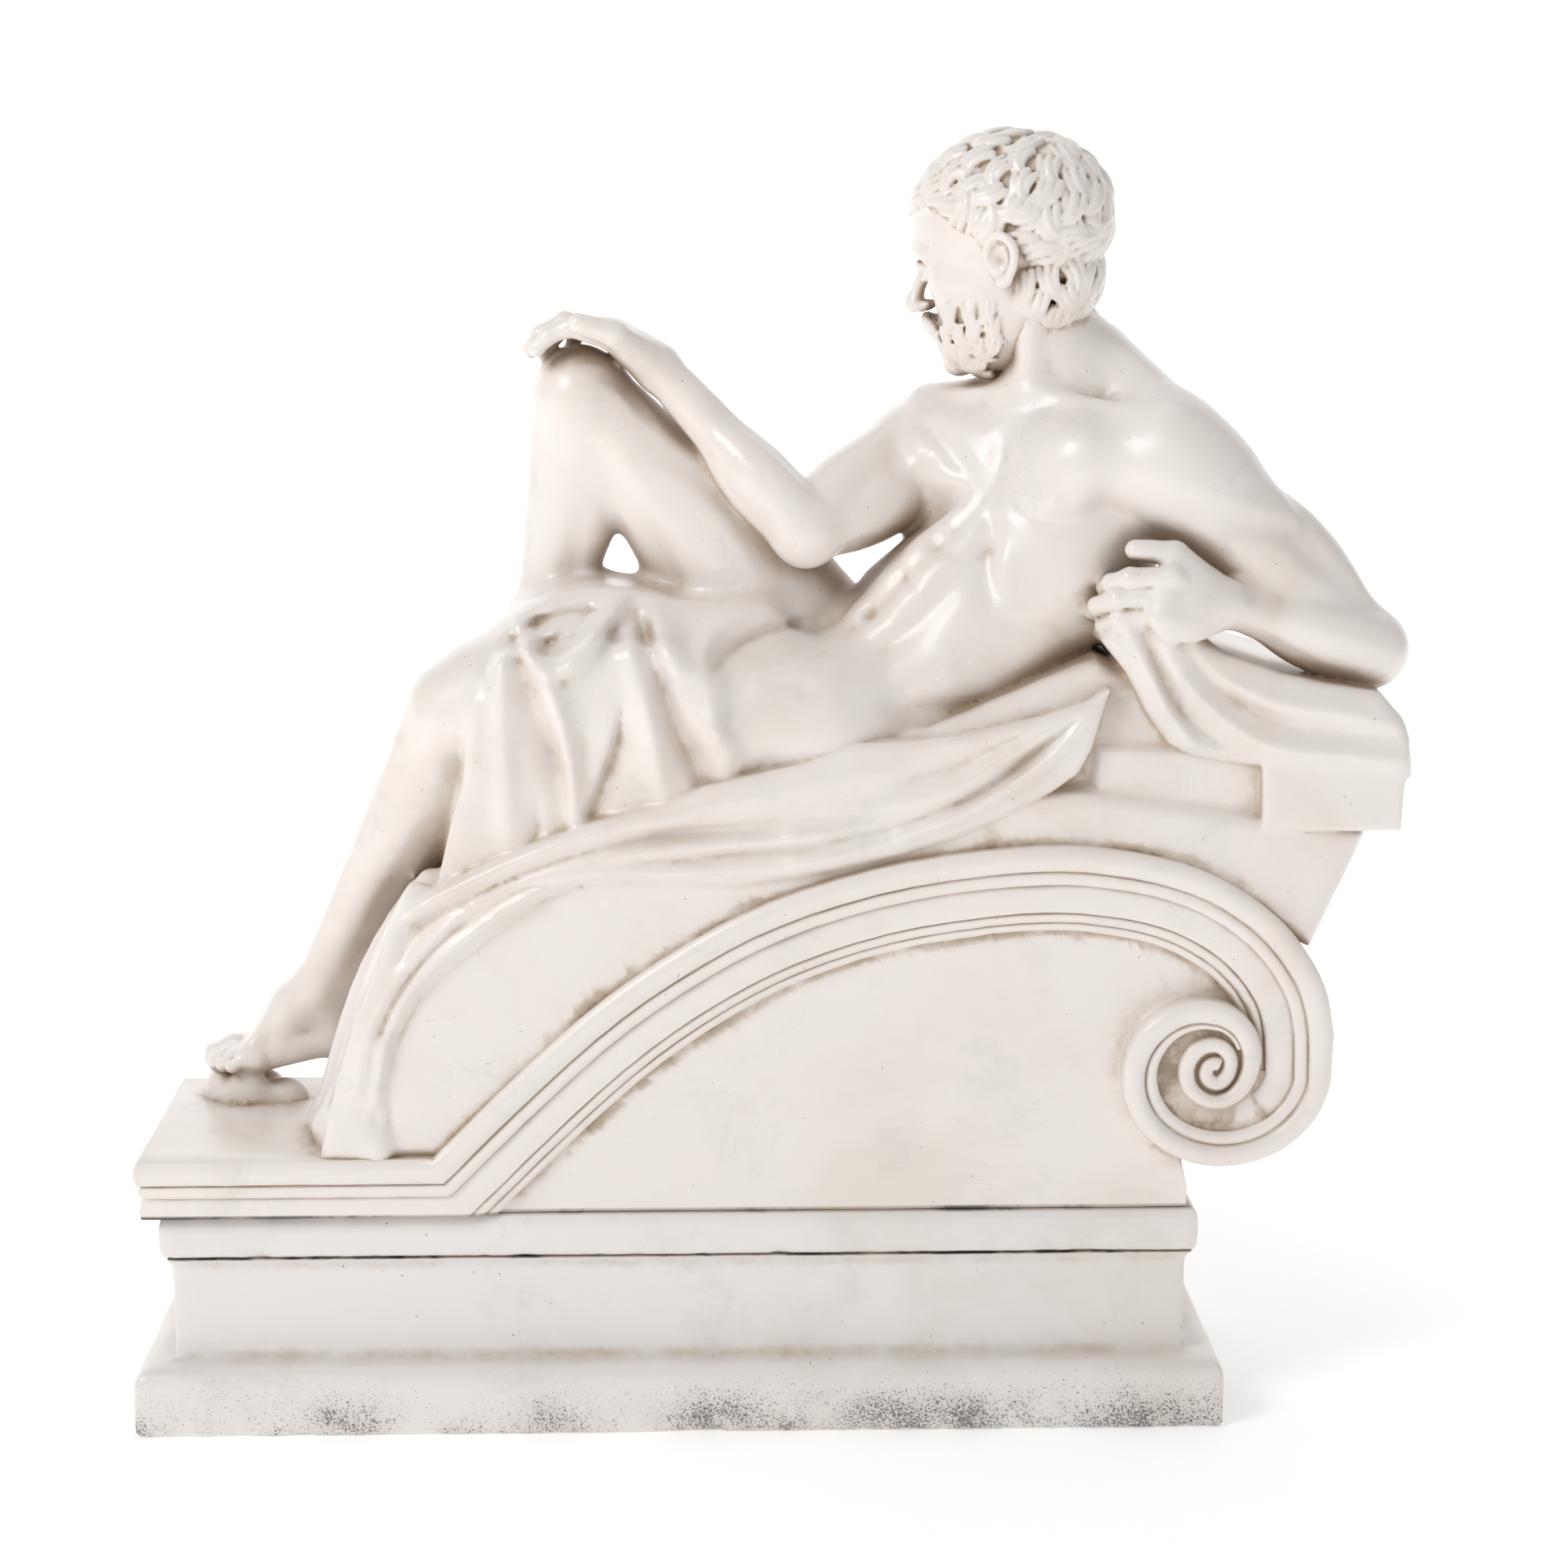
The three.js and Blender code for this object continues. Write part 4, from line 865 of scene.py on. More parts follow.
# --- the head
@dataclass
class Head:
    """The bearded head with its short curled hair."""

    frame: Frame
    skull: tuple = (68.0, 55.0, 58.0)
    lock_length: float = 32.0
    lock_count: int = 150

    def model(self, cell: float) -> Clay:
        """Model the head in clay of its own, finer than the figure's."""
        reach = 128.0
        clay = Clay(self.frame.origin - (reach, reach, 132), self.frame.origin + (reach, reach, 84), cell)
        self._bones(clay)
        self._features(clay)
        for side in Side:
            self._ear(clay, side.value)
        self._hair(clay)
        self._beard(clay)
        return clay

    def _spot(self, middle: Array, radii: tuple, turn: float, drop: float) -> Array:
        """Give the place on an egg round the head at a turn from the front and a height."""
        ring = math.sqrt(1 - drop * drop)
        local = vec(math.cos(turn) * ring, math.sin(turn) * ring, drop) * radii
        return middle + local @ self._axes()

    def _axes(self) -> Array:
        """Give the head's forward, right and up as rows."""
        return np.array([self.frame.forward, self.frame.right, self.frame.up])

    def _bones(self, clay: Clay) -> None:
        """Add the skull and the face's planes."""
        clay.eggs(self.frame, (0, 0, 4, *(r + 2.6 for r in self.skull), 6),
                  (30, 0, 10, 37, 43, 40, 14), (30, 0, -44, 36, 38, 46, 18),
                  (36, 0, -74, 29, 31, 25, 14))
        clay.add(ball(self.frame.point(60, 0, -88), 11), 12)
        for s in (-1, 1):
            clay.eggs(self.frame, (39, 29 * s, -31, 14, 14, 10, 22),
                      (12, 33 * s, -56, 24, 12, 22, 20))
        clay.eggs(self.frame, (20, 0, -60, 40, 40, 40, 12))

    def _features(self, clay: Clay) -> None:
        """Add brows, eyes, nose and mouth."""
        at = self.frame.point
        for s in (-1, 1):
            clay.run([at(56, 38 * s, -9), at(65, 25 * s, -3), at(68, 12 * s, -4), at(67, 5 * s, -9)],
                     [3, 4.2, 4.2, 3], 9)
        clay.run([at(66, 0, -8), at(73, 0, -20), at(83, 0, -37)], [4.5, 4.4, 5.4], 8)
        clay.add(ball(at(85, 0, -41), 6.4), 5)
        for s in (-1, 1):
            clay.cut(egg(at(76, 19.5 * s, -18), (14, 13, 9), self.frame), 7)
            clay.add(ball(at(54.5, 20 * s, -19), 11.4), 1.5)
            corner_in, corner_out = at(61, 8.5 * s, -21), at(57, 33 * s, -20.5)
            clay.run([corner_in, at(67, 15 * s, -14.4), at(66.5, 25 * s, -14), corner_out],
                     [1.6, 2.4, 2.4, 1.6], 2.0)
            clay.run([corner_in, at(65.6, 16 * s, -25), at(64.6, 26 * s, -25), corner_out],
                     [1.4, 1.9, 1.9, 1.4], 2.5)
            clay.eggs(self.frame, (77, 7.5 * s, -43.5, 7.5, 5.0, 5.0, 4))
            clay.cut(ball(at(83, 4 * s, -48.5), 2.6), 2)
            line = [at(76, 12 * s, -42), at(71, 18 * s, -50), at(64, 24 * s, -60)]
            clay.cut(chain(line, [2.5, 2.5, 2], 5), 9)
        clay.run([at(65, -16, -61), at(73.5, -5, -57.5), at(74, 0, -58.5), at(73.5, 5, -57.5),
                  at(65, 16, -61)], [1.8, 3.2, 3.0, 3.2, 1.8], 4)
        clay.run([at(65, -13, -64), at(72, 0, -67.5), at(65, 13, -64)], [1.8, 4.0, 1.8], 4)
        clay.cut(chain([at(68, -15, -62.5), at(77.5, 0, -62.3), at(68, 15, -62.5)], [1.2, 1.5, 1.2]),
                 1.5)

    def _ear(self, clay: Clay, s: float) -> None:
        """Add one ear, which the hair half covers."""
        at = self.frame.point
        ring = [at(2, 52 * s, -32), at(5, 56 * s, -20), at(0, 58 * s, -9), at(-10, 61 * s, -6),
                at(-18, 62 * s, -15), at(-15, 60 * s, -28), at(-7, 57 * s, -38)]
        clay.eggs(self.frame, (-5, 52 * s, -22, 11, 6, 15, 4))
        clay.run(ring, [2.6, 3.0, 3.2, 3.4, 3.4, 3.0, 3.6], 2.5, 14)
        clay.add(ball(at(-3, 55 * s, -38), 5), 3)
        clay.cut(egg(at(-5, 60 * s, -22), (5.5, 6, 8), self.frame), 3)

    def _lock(self, clay: Clay, spot: Array, way: Array, length: float, curl: float, girth: float,
              middle: Array, radii: tuple) -> None:
        """Add a flat lock of three strands that leaves a spot, curls and ends in a hooked tip.

        Args:
            clay: the block that takes it.
            spot: where its root is, on the egg that it lies on.
            way: the direction in which it leaves.
            length: its length.
            curl: how far it turns, in radians.
            girth: radius of a strand at its thickest.
            middle: centre of the egg that it lies on.
            radii: radii of that egg.
        """
        axes = self._axes()
        steps = 6
        place, heading = spot, unit(way)
        paths: tuple = ([], [], [])
        for i in range(steps + 1):
            t = i / steps
            local = axes @ (place - middle) / radii
            on_egg = middle + axes.T @ (local / np.linalg.norm(local) * radii)
            normal = unit(axes.T @ (local / radii))
            heading = unit(heading - normal * heading.dot(normal))
            side = np.cross(normal, heading)
            lift = girth * (0.15 + 0.6 * math.sin(math.pi * min(1.0, 0.2 + 0.7 * t)))
            half = girth * 1.12 * (1 - t) ** 0.55
            for path, k in zip(paths, (-1, 0, 1)):
                rise = lift + girth * ((0.25 * k - 0.05) * (1 - t) + 0.22 * (1 - abs(k)))
                path.append(on_egg + normal * rise + side * half * k)
            place = on_egg + heading * length / steps
            turn = curl / steps * (0.35 + 1.3 * t)
            heading = heading * math.cos(turn) + side * math.sin(turn)
        for path in paths:
            sizes = [girth * (0.54 + 0.14 * math.sin(math.pi * min(1, 1.3 * j / steps)))
                     * (1 - 0.4 * (j / steps) ** 2) for j in range(steps + 1)]
            clay.add(chain(path, sizes, steps), 0.8)

    def _hair(self, clay: Clay) -> None:
        """Cover the skull with locks that run outwards from the crown."""
        f = self.frame
        middle = f.point(0, 0, 4)
        crown = f.turn(-0.42, 0.12, 0.9)
        for i in reversed(range(self.lock_count)):
            u = 1 - 1.86 * (i + 0.5) / self.lock_count
            x = math.cos(i * GOLDEN_TURN) * math.sqrt(1 - u * u)
            low = -0.86 + 0.62 * ease((x + 0.45) / 0.5)
            if u < low or (x > 0.36 and u < 0.36):
                continue
            spot = self._spot(middle, self.skull, i * GOLDEN_TURN, u)
            away = spot - middle - crown * (spot - middle).dot(crown)
            swirl = np.cross(unit(spot - middle), unit(away))
            sign = 1 if (i * 7) % 5 < 3 else -1
            way = unit(away) + swirl * 0.75 * math.sin(i * 2.4)
            length = self.lock_length * (0.86 + 0.28 * ((i * 13) % 7) / 6)
            girth = 5.4 + 1.1 * ((i * 5) % 4) / 3
            self._lock(clay, spot, way, length, 3.0 * sign, girth, middle, self.skull)
        middle, radii = f.point(-12, 0, -32), (44.0, 42.0, 46.0)
        for row, drop in enumerate((-0.05, -0.36, -0.64)):
            for k in range(9):
                turn = math.pi + (k - 4 + 0.5 * (row % 2)) * 0.37
                spot = self._spot(middle, radii, turn, drop)
                way = f.turn(0, 0.7 * math.sin(k * 2.3 + row), -1)
                sign = 1 if (k + row) % 2 else -1
                self._lock(clay, spot, way, self.lock_length, 3.0 * sign, 5.2, middle, radii)

    def _beard(self, clay: Clay) -> None:
        """Cover cheeks and chin with locks, and the lip with a moustache."""
        f, at = self.frame, self.frame.point
        middle, radii = at(23, 0, -57), (46.0, 45.0, 45.0)
        for drop, bare, reach, count in ((0.5, 1.3, 1.75, 12), (0.2, 0.98, 1.8, 12),
                                         (-0.1, 0.62, 1.8, 13), (-0.36, 0.12, 1.75, 13),
                                         (-0.62, 0, 1.35, 10), (-0.86, 0, 1.1, 7)):
            row = round(10 * drop)
            for k in range(count):
                turn = reach * (2 * k / (count - 1) - 1)
                if abs(turn) < bare:
                    continue
                spot = self._spot(middle, radii, turn, drop)
                way = f.turn(0.25, 0.35 * math.sin(k * 2.1 + row), -1.0)
                sign = 1 if (k + row) % 2 else -1
                self._lock(clay, spot, way, 22 + 3 * (k % 3), 2.2 * sign, 4.0, middle, radii)
        for s in (-1, 1):
            for k, drop in enumerate((0, 3.8)):
                clay.run([at(77, 2.5 * s, -51 - drop), at(75, 11 * s, -54.5 - drop),
                          at(66, 21 * s, -62 - drop), at(60, 27 * s, -76 + 3 * drop)],
                         [2.4, 3.4, 3.2, 1.6], 1.4)


# --- couch and cloths
@dataclass(frozen=True)
class Fold:
    """A ridge of cloth, or a valley where its height is below zero, seen from the front."""

    line: tuple
    heights: tuple
    widths: tuple
    steep: float = 0.0

    def relief(self, x: Array, z: Array) -> Array:
        """Give how far it moves the surface at places in the XZ plane."""
        path = smooth_path(self.line, 28)
        nearest = np.full(np.broadcast(x, z).shape, 1e6)
        share = np.zeros(nearest.shape)
        side = np.zeros(nearest.shape)
        for i in range(len(path) - 1):
            (ax, az), (bx, bz) = path[i], path[i + 1]
            ex, ez = bx - ax, bz - az
            t = ((x - ax) * ex + (z - az) * ez) / (ex * ex + ez * ez)
            held = np.clip(t, 0, 1)
            away = np.hypot(x - ax - held * ex, z - az - held * ez)
            closer = away < nearest
            nearest = np.where(closer, away, nearest)
            share = np.where(closer, (i + held) / (len(path) - 1), share)
            turn = (x - ax) * ez - (z - az) * ex
            side = np.where(closer, np.sign(turn), side)
        ratio = nearest / (along(share, self.widths) * (1 - self.steep * side))
        return along(share, self.heights) * np.exp(-ratio * ratio)


# The cloth between the legs and over the lap.
LAP_FOLDS = (
    Fold(((-142, 558), (-118, 577), (-92, 588), (-66, 592)), (2, 6, 6, 2), (6, 7, 7, 7)),
    Fold(((-136, 574), (-108, 597), (-80, 606), (-54, 610)), (2, 6, 5, 2), (6, 7, 7, 7)),
    Fold(((-138, 566), (-110, 587), (-84, 598), (-60, 601)), (-1, -4, -4, -1), (4, 5, 5, 5)),
    Fold(((-92, 560), (-76, 572), (-58, 590), (-40, 608)), (3, 8, 9, 6), (7, 8, 9, 9)),
    Fold(((-84, 572), (-72, 584), (-62, 600)), (-2, -6, -2), (5, 6, 6)),
    Fold(((-24, 612), (-10, 590), (0, 566)), (2, 7, 6), (9, 10, 10)),
    Fold(((-36, 604), (-26, 582), (-24, 560)), (-3, -6, -3), (6, 7, 7)),
    Fold(((8, 572), (32, 592), (60, 604), (88, 602)), (2, 7, 7, 3), (8, 9, 10, 10)),
    Fold(((16, 556), (44, 574), (72, 584), (100, 582)), (-1, -7, -7, -2), (5, 7, 7, 7)),
    Fold(((26, 542), (54, 556), (82, 564), (106, 560)), (2, 7, 7, 3), (8, 9, 10, 10)),
)
# The cloth that hangs over the near thigh.
THIGH_FOLDS = (
    Fold(((-130, 590), (-124, 558), (-123, 511), (-121, 464), (-119, 430)), (0, 5, 6, 5, 2),
         (6, 8, 9, 10, 10)),
    Fold(((-141, 585), (-145, 533), (-149, 491), (-160, 451), (-168, 410)), (1, 3, 3.5, 3, 2),
         (5, 6, 6, 7, 7)),
    Fold(((-120, 588), (-107, 557), (-95, 522), (-84, 487), (-81, 451)), (-1, -5, -7, -7, -4),
         (5, 7, 8, 8, 8), -0.3),
    Fold(((-116, 596), (-103, 577), (-92, 557), (-81, 524), (-75, 488), (-75, 455)),
         (2, 6, 6, 6, 7, 5), (6, 7, 7, 7, 8, 9)),
    Fold(((-92, 566), (-77, 572), (-60, 590), (-44, 606)), (6, 7, 6, 3), (7, 8, 8, 7)),
    Fold(((-98, 590), (-91, 577), (-84, 584)), (-4, -8, -4), (9, 8, 9)),
    Fold(((-62, 548), (-66, 510), (-68, 470)), (-1, -3, -2), (10, 10, 9)),
    Fold(((-39, 541), (-42, 515), (-49, 492), (-61, 460)), (-1, -8, -9, -5), (4, 6, 7, 7), 0.3),
    Fold(((-34, 600), (-30, 580), (-21, 534), (-15, 498), (-10, 474)), (3, 7, 8, 8, 4),
         (8, 9, 9, 9, 9)),
    Fold(((-30, 606), (-18, 570), (-6, 535), (6, 505), (18, 482)), (-1, -6, -9, -11, -8),
         (5, 7, 8, 9, 9), 0.2),
    Fold(((22, 590), (20, 560), (28, 520), (44, 492)), (2, 5, 6, 3), (8, 9, 10, 10)),
    Fold(((-101, 480), (-100, 455), (-103, 432)), (-0.5, -3, -2), (4, 5, 5)),
)
# The swag along the couch.
SWAG_FOLDS = (
    Fold(((150, 492), (43, 472), (-3, 461), (-50, 451), (-86, 441), (-123, 425), (-158, 409),
         (-190, 392)), (3, 5, 6, 6, 6, 5, 5, 4), (12, 12, 9, 8, 7, 7, 6, 6)),
    Fold(((160, 464), (100, 457), (54, 452), (-4, 449), (-38, 441), (-73, 431), (-119, 415),
         (-154, 397)), (-2, -4, -5, -5, -5, -4, -4, -2), (7, 7, 6, 5, 5, 5, 5, 5), 0.2),
    Fold(((190, 462), (100, 447), (42, 442), (-4, 437), (-38, 434), (-73, 427), (-105, 416),
         (-135, 400), (-166, 381), (-189, 358), (-206, 335), (-222, 306), (-232, 260)),
         (2, 5, 5, 5, 5, 5, 5, 5, 5, 5, 5, 4, 3), (8, 7, 6, 6, 6, 6, 6, 6, 6, 6, 6, 6, 6)),
    Fold(((150, 447), (100, 438), (43, 433), (8, 429), (-30, 427)), (-2, -4, -4, -3, -1),
         (5, 5, 4, 4, 4)),
    Fold(((160, 438), (100, 427), (54, 422), (-4, 420), (-38, 421), (-73, 418), (-105, 404),
         (-138, 383), (-166, 362), (-194, 333), (-211, 300), (-219, 250)),
         (2, 4, 4, 4, 4, 4, 5, 5, 5, 5, 4, 3), (7, 7, 6, 6, 6, 5, 5, 5, 5, 5, 5, 5)),
    Fold(((-70, 412), (-110, 409), (-150, 388), (-178, 362), (-199, 334), (-214, 303)),
         (-1, -3, -3, -3, -4, -3), (3, 3.5, 4, 4, 4, 4)),
    Fold(((-160, 396), (-188, 378), (-198, 358)), (-2, -8, -3), (7, 9, 6)),
    Fold(((83, 449), (141, 464), (198, 481), (233, 505), (262, 522), (290, 540)),
         (3, 5, 6, 6, 5, 2), (8, 8, 8, 7, 6, 4)),
    Fold(((83, 430), (141, 443), (199, 462), (245, 487), (273, 510), (296, 536)),
         (3, 5, 6, 6, 5, 2), (7, 7, 7, 6, 5, 4)),
    Fold(((110, 443), (170, 457), (222, 480), (254, 505), (282, 528)), (-2, -5, -6, -5, -2),
         (4, 4, 4, 4, 3)),
    Fold(((150, 485), (198, 496), (240, 515), (276, 533)), (-1, -4, -4, -1), (5, 6, 5, 4)),
    Fold(((-214, 372), (-224, 340), (-240, 290), (-250, 250)), (-2, -3, -3, -2), (4, 4, 5, 5)),
)
# The cloth on the cushion.
CUSHION_FOLDS = (
    Fold(((340, 609), (355, 582), (382, 557), (428, 540), (472, 533), (515, 522)),
         (2, 5, 6, 6, 5, 2), (6, 8, 9, 9, 8, 7)),
    Fold(((346, 597), (368, 568), (393, 546), (430, 526), (480, 518)), (-2, -5, -6, -4, -1),
         (5, 5, 6, 6, 5)),
    Fold(((334, 603), (347, 574), (370, 545), (400, 521), (429, 508), (475, 503), (515, 498)),
         (2, 5, 6, 6, 6, 5, 2), (5, 6, 7, 7, 8, 8, 7)),
    Fold(((330, 590), (343, 560), (360, 532), (384, 511)), (-2, -4, -4, -2), (4,)),
    Fold(((318, 594), (333, 564), (348, 535), (366, 512)), (2, 5, 5, 3), (4, 5, 5, 5)),
)


@dataclass
class Couch:
    """The mattress on the lid, with the block under the near arm."""

    half_depth: float = 101.0
    left_edge: tuple = (
        (-206, 203), (-213, 214), (-217, 250), (-211, 292), (-194, 334), (-161, 372), (-114, 400),
        (-40, 430), (40, 458), (150, 478),
    )
    under_side: tuple = (
        (291, 478), (496, 447), (457, 359), (430, 372), (380, 400), (296, 420), (152, 408), (5, 350),
        (-110, 250), (-150, 203),
    )

    def model(self, clay: Clay) -> None:
        """Model the couch into a block of clay."""
        h = self.half_depth
        edge = [tuple(p) for p in smooth_path(self.left_edge, 30)]
        clay.add(slab(edge + list(self.under_side), -h, h, 13), 3)
        clay.add(slab([(300, 450), (300, 506), (424, 502), (424, 446)], 9 - h, h - 9, 4), 2)
        clay.add(slab([(418, 447), (417, 520), (521, 514), (519, 446)], -h - 3, h, 5), 1)
        clay.add(slab([(60, 440), (20, 500), (180, 520), (300, 570), (420, 520), (440, 450)],
                      13 - h, h - 13, 16), 8)


@dataclass
class Cloths:
    """The cloth over the near thigh, the swag along the couch and the cloth on the cushion."""

    front: float = -103.0

    def model(self, clay: Clay) -> None:
        """Model the cloths into a block of clay, over what they lie on."""
        self._lay_cushion_cloth(clay)
        self._lay_thigh_cloth(clay)
        self._fold(clay, LAP_FOLDS, 70)
        self._fold(clay, THIGH_FOLDS, -20)
        self._lay_swag(clay)
        self._lay_foot_of_swag(clay)
        self._fold(clay, SWAG_FOLDS, -70)
        self._fold(clay, CUSHION_FOLDS, -60)

    def _fold(self, clay: Clay, folds: tuple, back: float) -> None:
        """Press folds into the front of the clay, fading out towards a depth behind it."""
        xs = [p[0] for f in folds for p in f.line]
        zs = [p[1] for f in folds for p in f.line]
        where, x, y, z = clay.window(vec(min(xs), -150, min(zs)), vec(max(xs), back, max(zs)), 24)
        relief = sum(f.relief(x[:, 0, :], z[0]) for f in folds)
        fade = 1 - ease((y - back + 40) / 40)
        clay.values[where] -= relief[:, None, :] * fade

    def _lay_thigh_cloth(self, clay: Clay) -> None:
        """Lay the cloth over the near thigh, down to the swag."""
        for a, b, ra, rb in (((-138, -42, 532), (-80, -44, 534), 46, 54),
                             ((-80, -44, 534), (-2, -42, 530), 54, 58),
                             ((-2, -42, 530), (40, -36, 540), 58, 46)):
            clay.add(limb(a, b, ra, rb), 5)
        clay.add(slab([(-146, 545), (-120, 572), (-20, 584), (34, 560), (40, 500), (50, 440),
                       (-60, 405), (-150, 385), (-172, 410), (-152, 480)], self.front + 5, 0, 14), 8)
        clay.add(slab([(-164, 530), (-150, 566), (-124, 592), (-92, 609), (-50, 616), (-6, 607),
                       (30, 604), (66, 600), (94, 584), (106, 556), (60, 520), (-100, 505)],
                      -54, 64, 24), 18)
        clay.add(slab([(-195, 380), (-205, 440), (-180, 462), (-60, 470), (60, 500), (60, 400)],
                      0, 100, 16), 10)
        clay.run([(-132, -26, 562), (-104, -20, 580), (-76, -8, 590), (-44, -4, 594)],
                 [13, 16, 16, 14], 14)

    def _lay_swag(self, clay: Clay) -> None:
        """Lay the swag from under the near arm down to the ledge."""
        clay.add(slab([
            (308, 553), (290, 539), (255, 529), (212, 519), (169, 514), (126, 511), (94, 499),
            (20, 482), (-15, 467), (-59, 456), (-105, 439), (-147, 421), (-172, 409), (-198, 392),
            (-208, 376), (-220, 345), (-237, 306), (-250, 262), (-262, 206), (-226, 206),
            (-219, 250), (-207, 292), (-186, 327), (-160, 351), (-132, 373), (-97, 399), (-69, 410),
            (-39, 412), (-4, 410), (43, 408), (83, 414), (155, 430), (193, 441), (228, 456),
            (268, 477), (285, 489), (295, 508), (301, 531)], self.front - 2, -50, 6), 2)
        clay.add(slab([(-196, 398), (-218, 350), (-238, 290), (-250, 250), (-260, 206), (-205, 206)],
                      -84, -14, 10), 8)
        clay.run([(-188, -78, 398), (-212, -66, 350), (-232, -56, 296), (-247, -50, 250),
                  (-258, -46, 214)], [10, 10, 10, 11, 14], 6)
        clay.run([(-180, -50, 400), (-214, -36, 352), (-240, -24, 290), (-262, -14, 214)],
                 [12, 12, 13, 14], 8)
        clay.run([(-198, -92, 372), (-216, -84, 326), (-226, -82, 280), (-236, -80, 216)],
                 [8, 9, 9, 10], 5)
        clay.run([(-190, -98, 350), (-205, -97, 310), (-214, -96, 270), (-220, -95, 214)],
                 [6, 7, 7, 8], 4)

    def _lay_foot_of_swag(self, clay: Clay) -> None:
        """Let the swag's end spread and crumple where it meets the ledge."""
        for x, y, z, radii in ((-262, -28, 216, (17, 26, 15)), (-254, -62, 220, (17, 20, 19)),
                               (-238, -86, 218, (16, 16, 17)), (-219, -98, 216, (12, 11, 15))):
            clay.add(egg((x, y, z), radii), 9)

    def _lay_cushion_cloth(self, clay: Clay) -> None:
        """Lay the cloth that hangs over the cushion, from under the near hand."""
        clay.add(slab([
            (300, 585), (318, 562), (333, 533), (350, 510), (366, 502), (389, 497), (415, 494),
            (444, 494), (488, 493), (519, 480), (526, 486), (523, 513), (516, 530), (501, 547),
            (457, 555), (428, 562), (387, 577), (360, 597), (340, 614), (322, 612)],
            self.front - 1, 94, 10), 3)


# --- the whole carving
@dataclass
class Figure:
    """The reclining man with his couch and cloths, modelled in one block of clay."""

    pose: Pose
    cell: float

    def model(self) -> Clay:
        """Model everything but the head and the lid."""
        clay = Clay((-405, -150, 196), (545, 146, 892), self.cell)
        clay.merge(Torso(self.pose).model(self.cell), 4)
        self._add_limbs(clay)
        rest = Clay((-300, -130, 196), (545, 130, 640), self.cell)
        Couch().model(rest)
        clay.merge(rest, 3)
        Cloths().model(clay)
        return clay

    def _block(self, *places: Array) -> Clay:
        """Make an empty block of clay around some places."""
        return Clay(np.min(places, axis=0) - 84, np.max(places, axis=0) + 84, self.cell)

    def _add_limbs(self, clay: Clay) -> None:
        """Add legs with feet and arms with hands."""
        p = self.pose
        near_leg = (p.near_hip, p.near_knee, p.near_ankle)
        block = self._block(*near_leg, vec(-320, 58, 243))
        Leg(*near_leg, 1.0).model(block)
        Foot(p.near_ankle, vec(-263, 58, 258), vec(-330, 58, 243), vec(-1, -0.05, -0.12),
             vec(-0.12, 0, -1), -1).model(block)
        for x, y, *radii in ((-354, 60, 15, 17, 25), (-334, 46, 20, 13, 27),
                             (-328, 68, 24, 15, 22), (-306, 52, 19, 14, 18)):
            block.add(egg((x, y, 207), radii), 7)
        clay.merge(block, 4, p.near_hip)
        far_leg = (p.far_hip, p.far_knee, p.far_ankle)
        block = self._block(*far_leg, vec(-160, 74, 472))
        Leg(*far_leg, 1.06).model(block)
        Foot(p.far_ankle, vec(-90, 66, 484), vec(-158, 74, 472), vec(-1, 0.06, -0.08),
             vec(0, 0, -1), 1).model(block)
        clay.merge(block, 4, p.far_hip)
        near_arm = (p.near_shoulder, p.near_elbow, p.near_wrist)
        block = self._block(*near_arm, vec(342, -60, 612))
        Arm(*near_arm, 1.0).model(block)
        Hand(p.near_wrist, vec(342, -104, 612), vec(0.15, -0.2, 0.97), vec(-0.2, 0.9, -0.4),
             vec(0, 0.1, 0.97)).model(block)
        clay.merge(block, 4, p.near_shoulder)
        far_arm = (p.far_shoulder, p.far_elbow, p.far_wrist)
        block = self._block(*far_arm, vec(-60, 18, 790))
        Arm(*far_arm, 0.94).model(block)
        Hand(p.far_wrist, vec(-48, 18, 796), vec(-0.1, -0.97, -0.1), vec(-0.45, 0, -0.9),
             vec(0, -0.95, 0.1)).model(block)
        clay.merge(block, 4, p.far_shoulder, reach=50)


# --- meshes
def place_object(name: str, data: bpy.types.ID) -> Thing:
    """Make an object from its data and put it in the scene."""
    thing = bpy.data.objects.new(name, data)
    bpy.context.collection.objects.link(thing)
    return thing


def mesh_object(name: str, points: Array, faces: Array | list) -> Thing:
    """Make an object from points in millimetres and faces."""
    mesh = bpy.data.meshes.new(name)
    mesh.from_pydata(np.asarray(points) * MM, [], faces)
    mesh.update()
    return place_object(name, mesh)


def ring_faces(rings: int, n: int) -> list:
    """List the faces between closed rings of n points each."""
    return [(i * n + j, (i + 1) * n + j, (i + 1) * n + (j + 1) % n, i * n + (j + 1) % n)
            for i in range(rings - 1) for j in range(n)]


def largest_shell(points: Array, faces: Array) -> tuple[Array, Array]:
    """Keep only the largest connected part of a mesh."""
    parent = np.arange(len(points))
    a = faces.ravel()
    b = np.roll(faces, 1, axis=1).ravel()
    while True:
        low = np.minimum(parent[a], parent[b])
        before = parent.copy()
        np.minimum.at(parent, parent[a], low)
        np.minimum.at(parent, parent[b], low)
        parent = parent[parent]
        if (parent == before).all():
            break
    names, counts = np.unique(parent, return_counts=True)
    kept = parent == names[counts.argmax()]
    number = np.cumsum(kept) - 1
    return points[kept], number[faces[kept[faces[:, 0]]]]


def apply_modifiers(thing: Thing) -> None:
    """Turn an object's modifiers into plain mesh."""
    view = bpy.context.evaluated_depsgraph_get()
    mesh = bpy.data.meshes.new_from_object(thing.evaluated_get(view))
    thing.modifiers.clear()
    thing.data = mesh


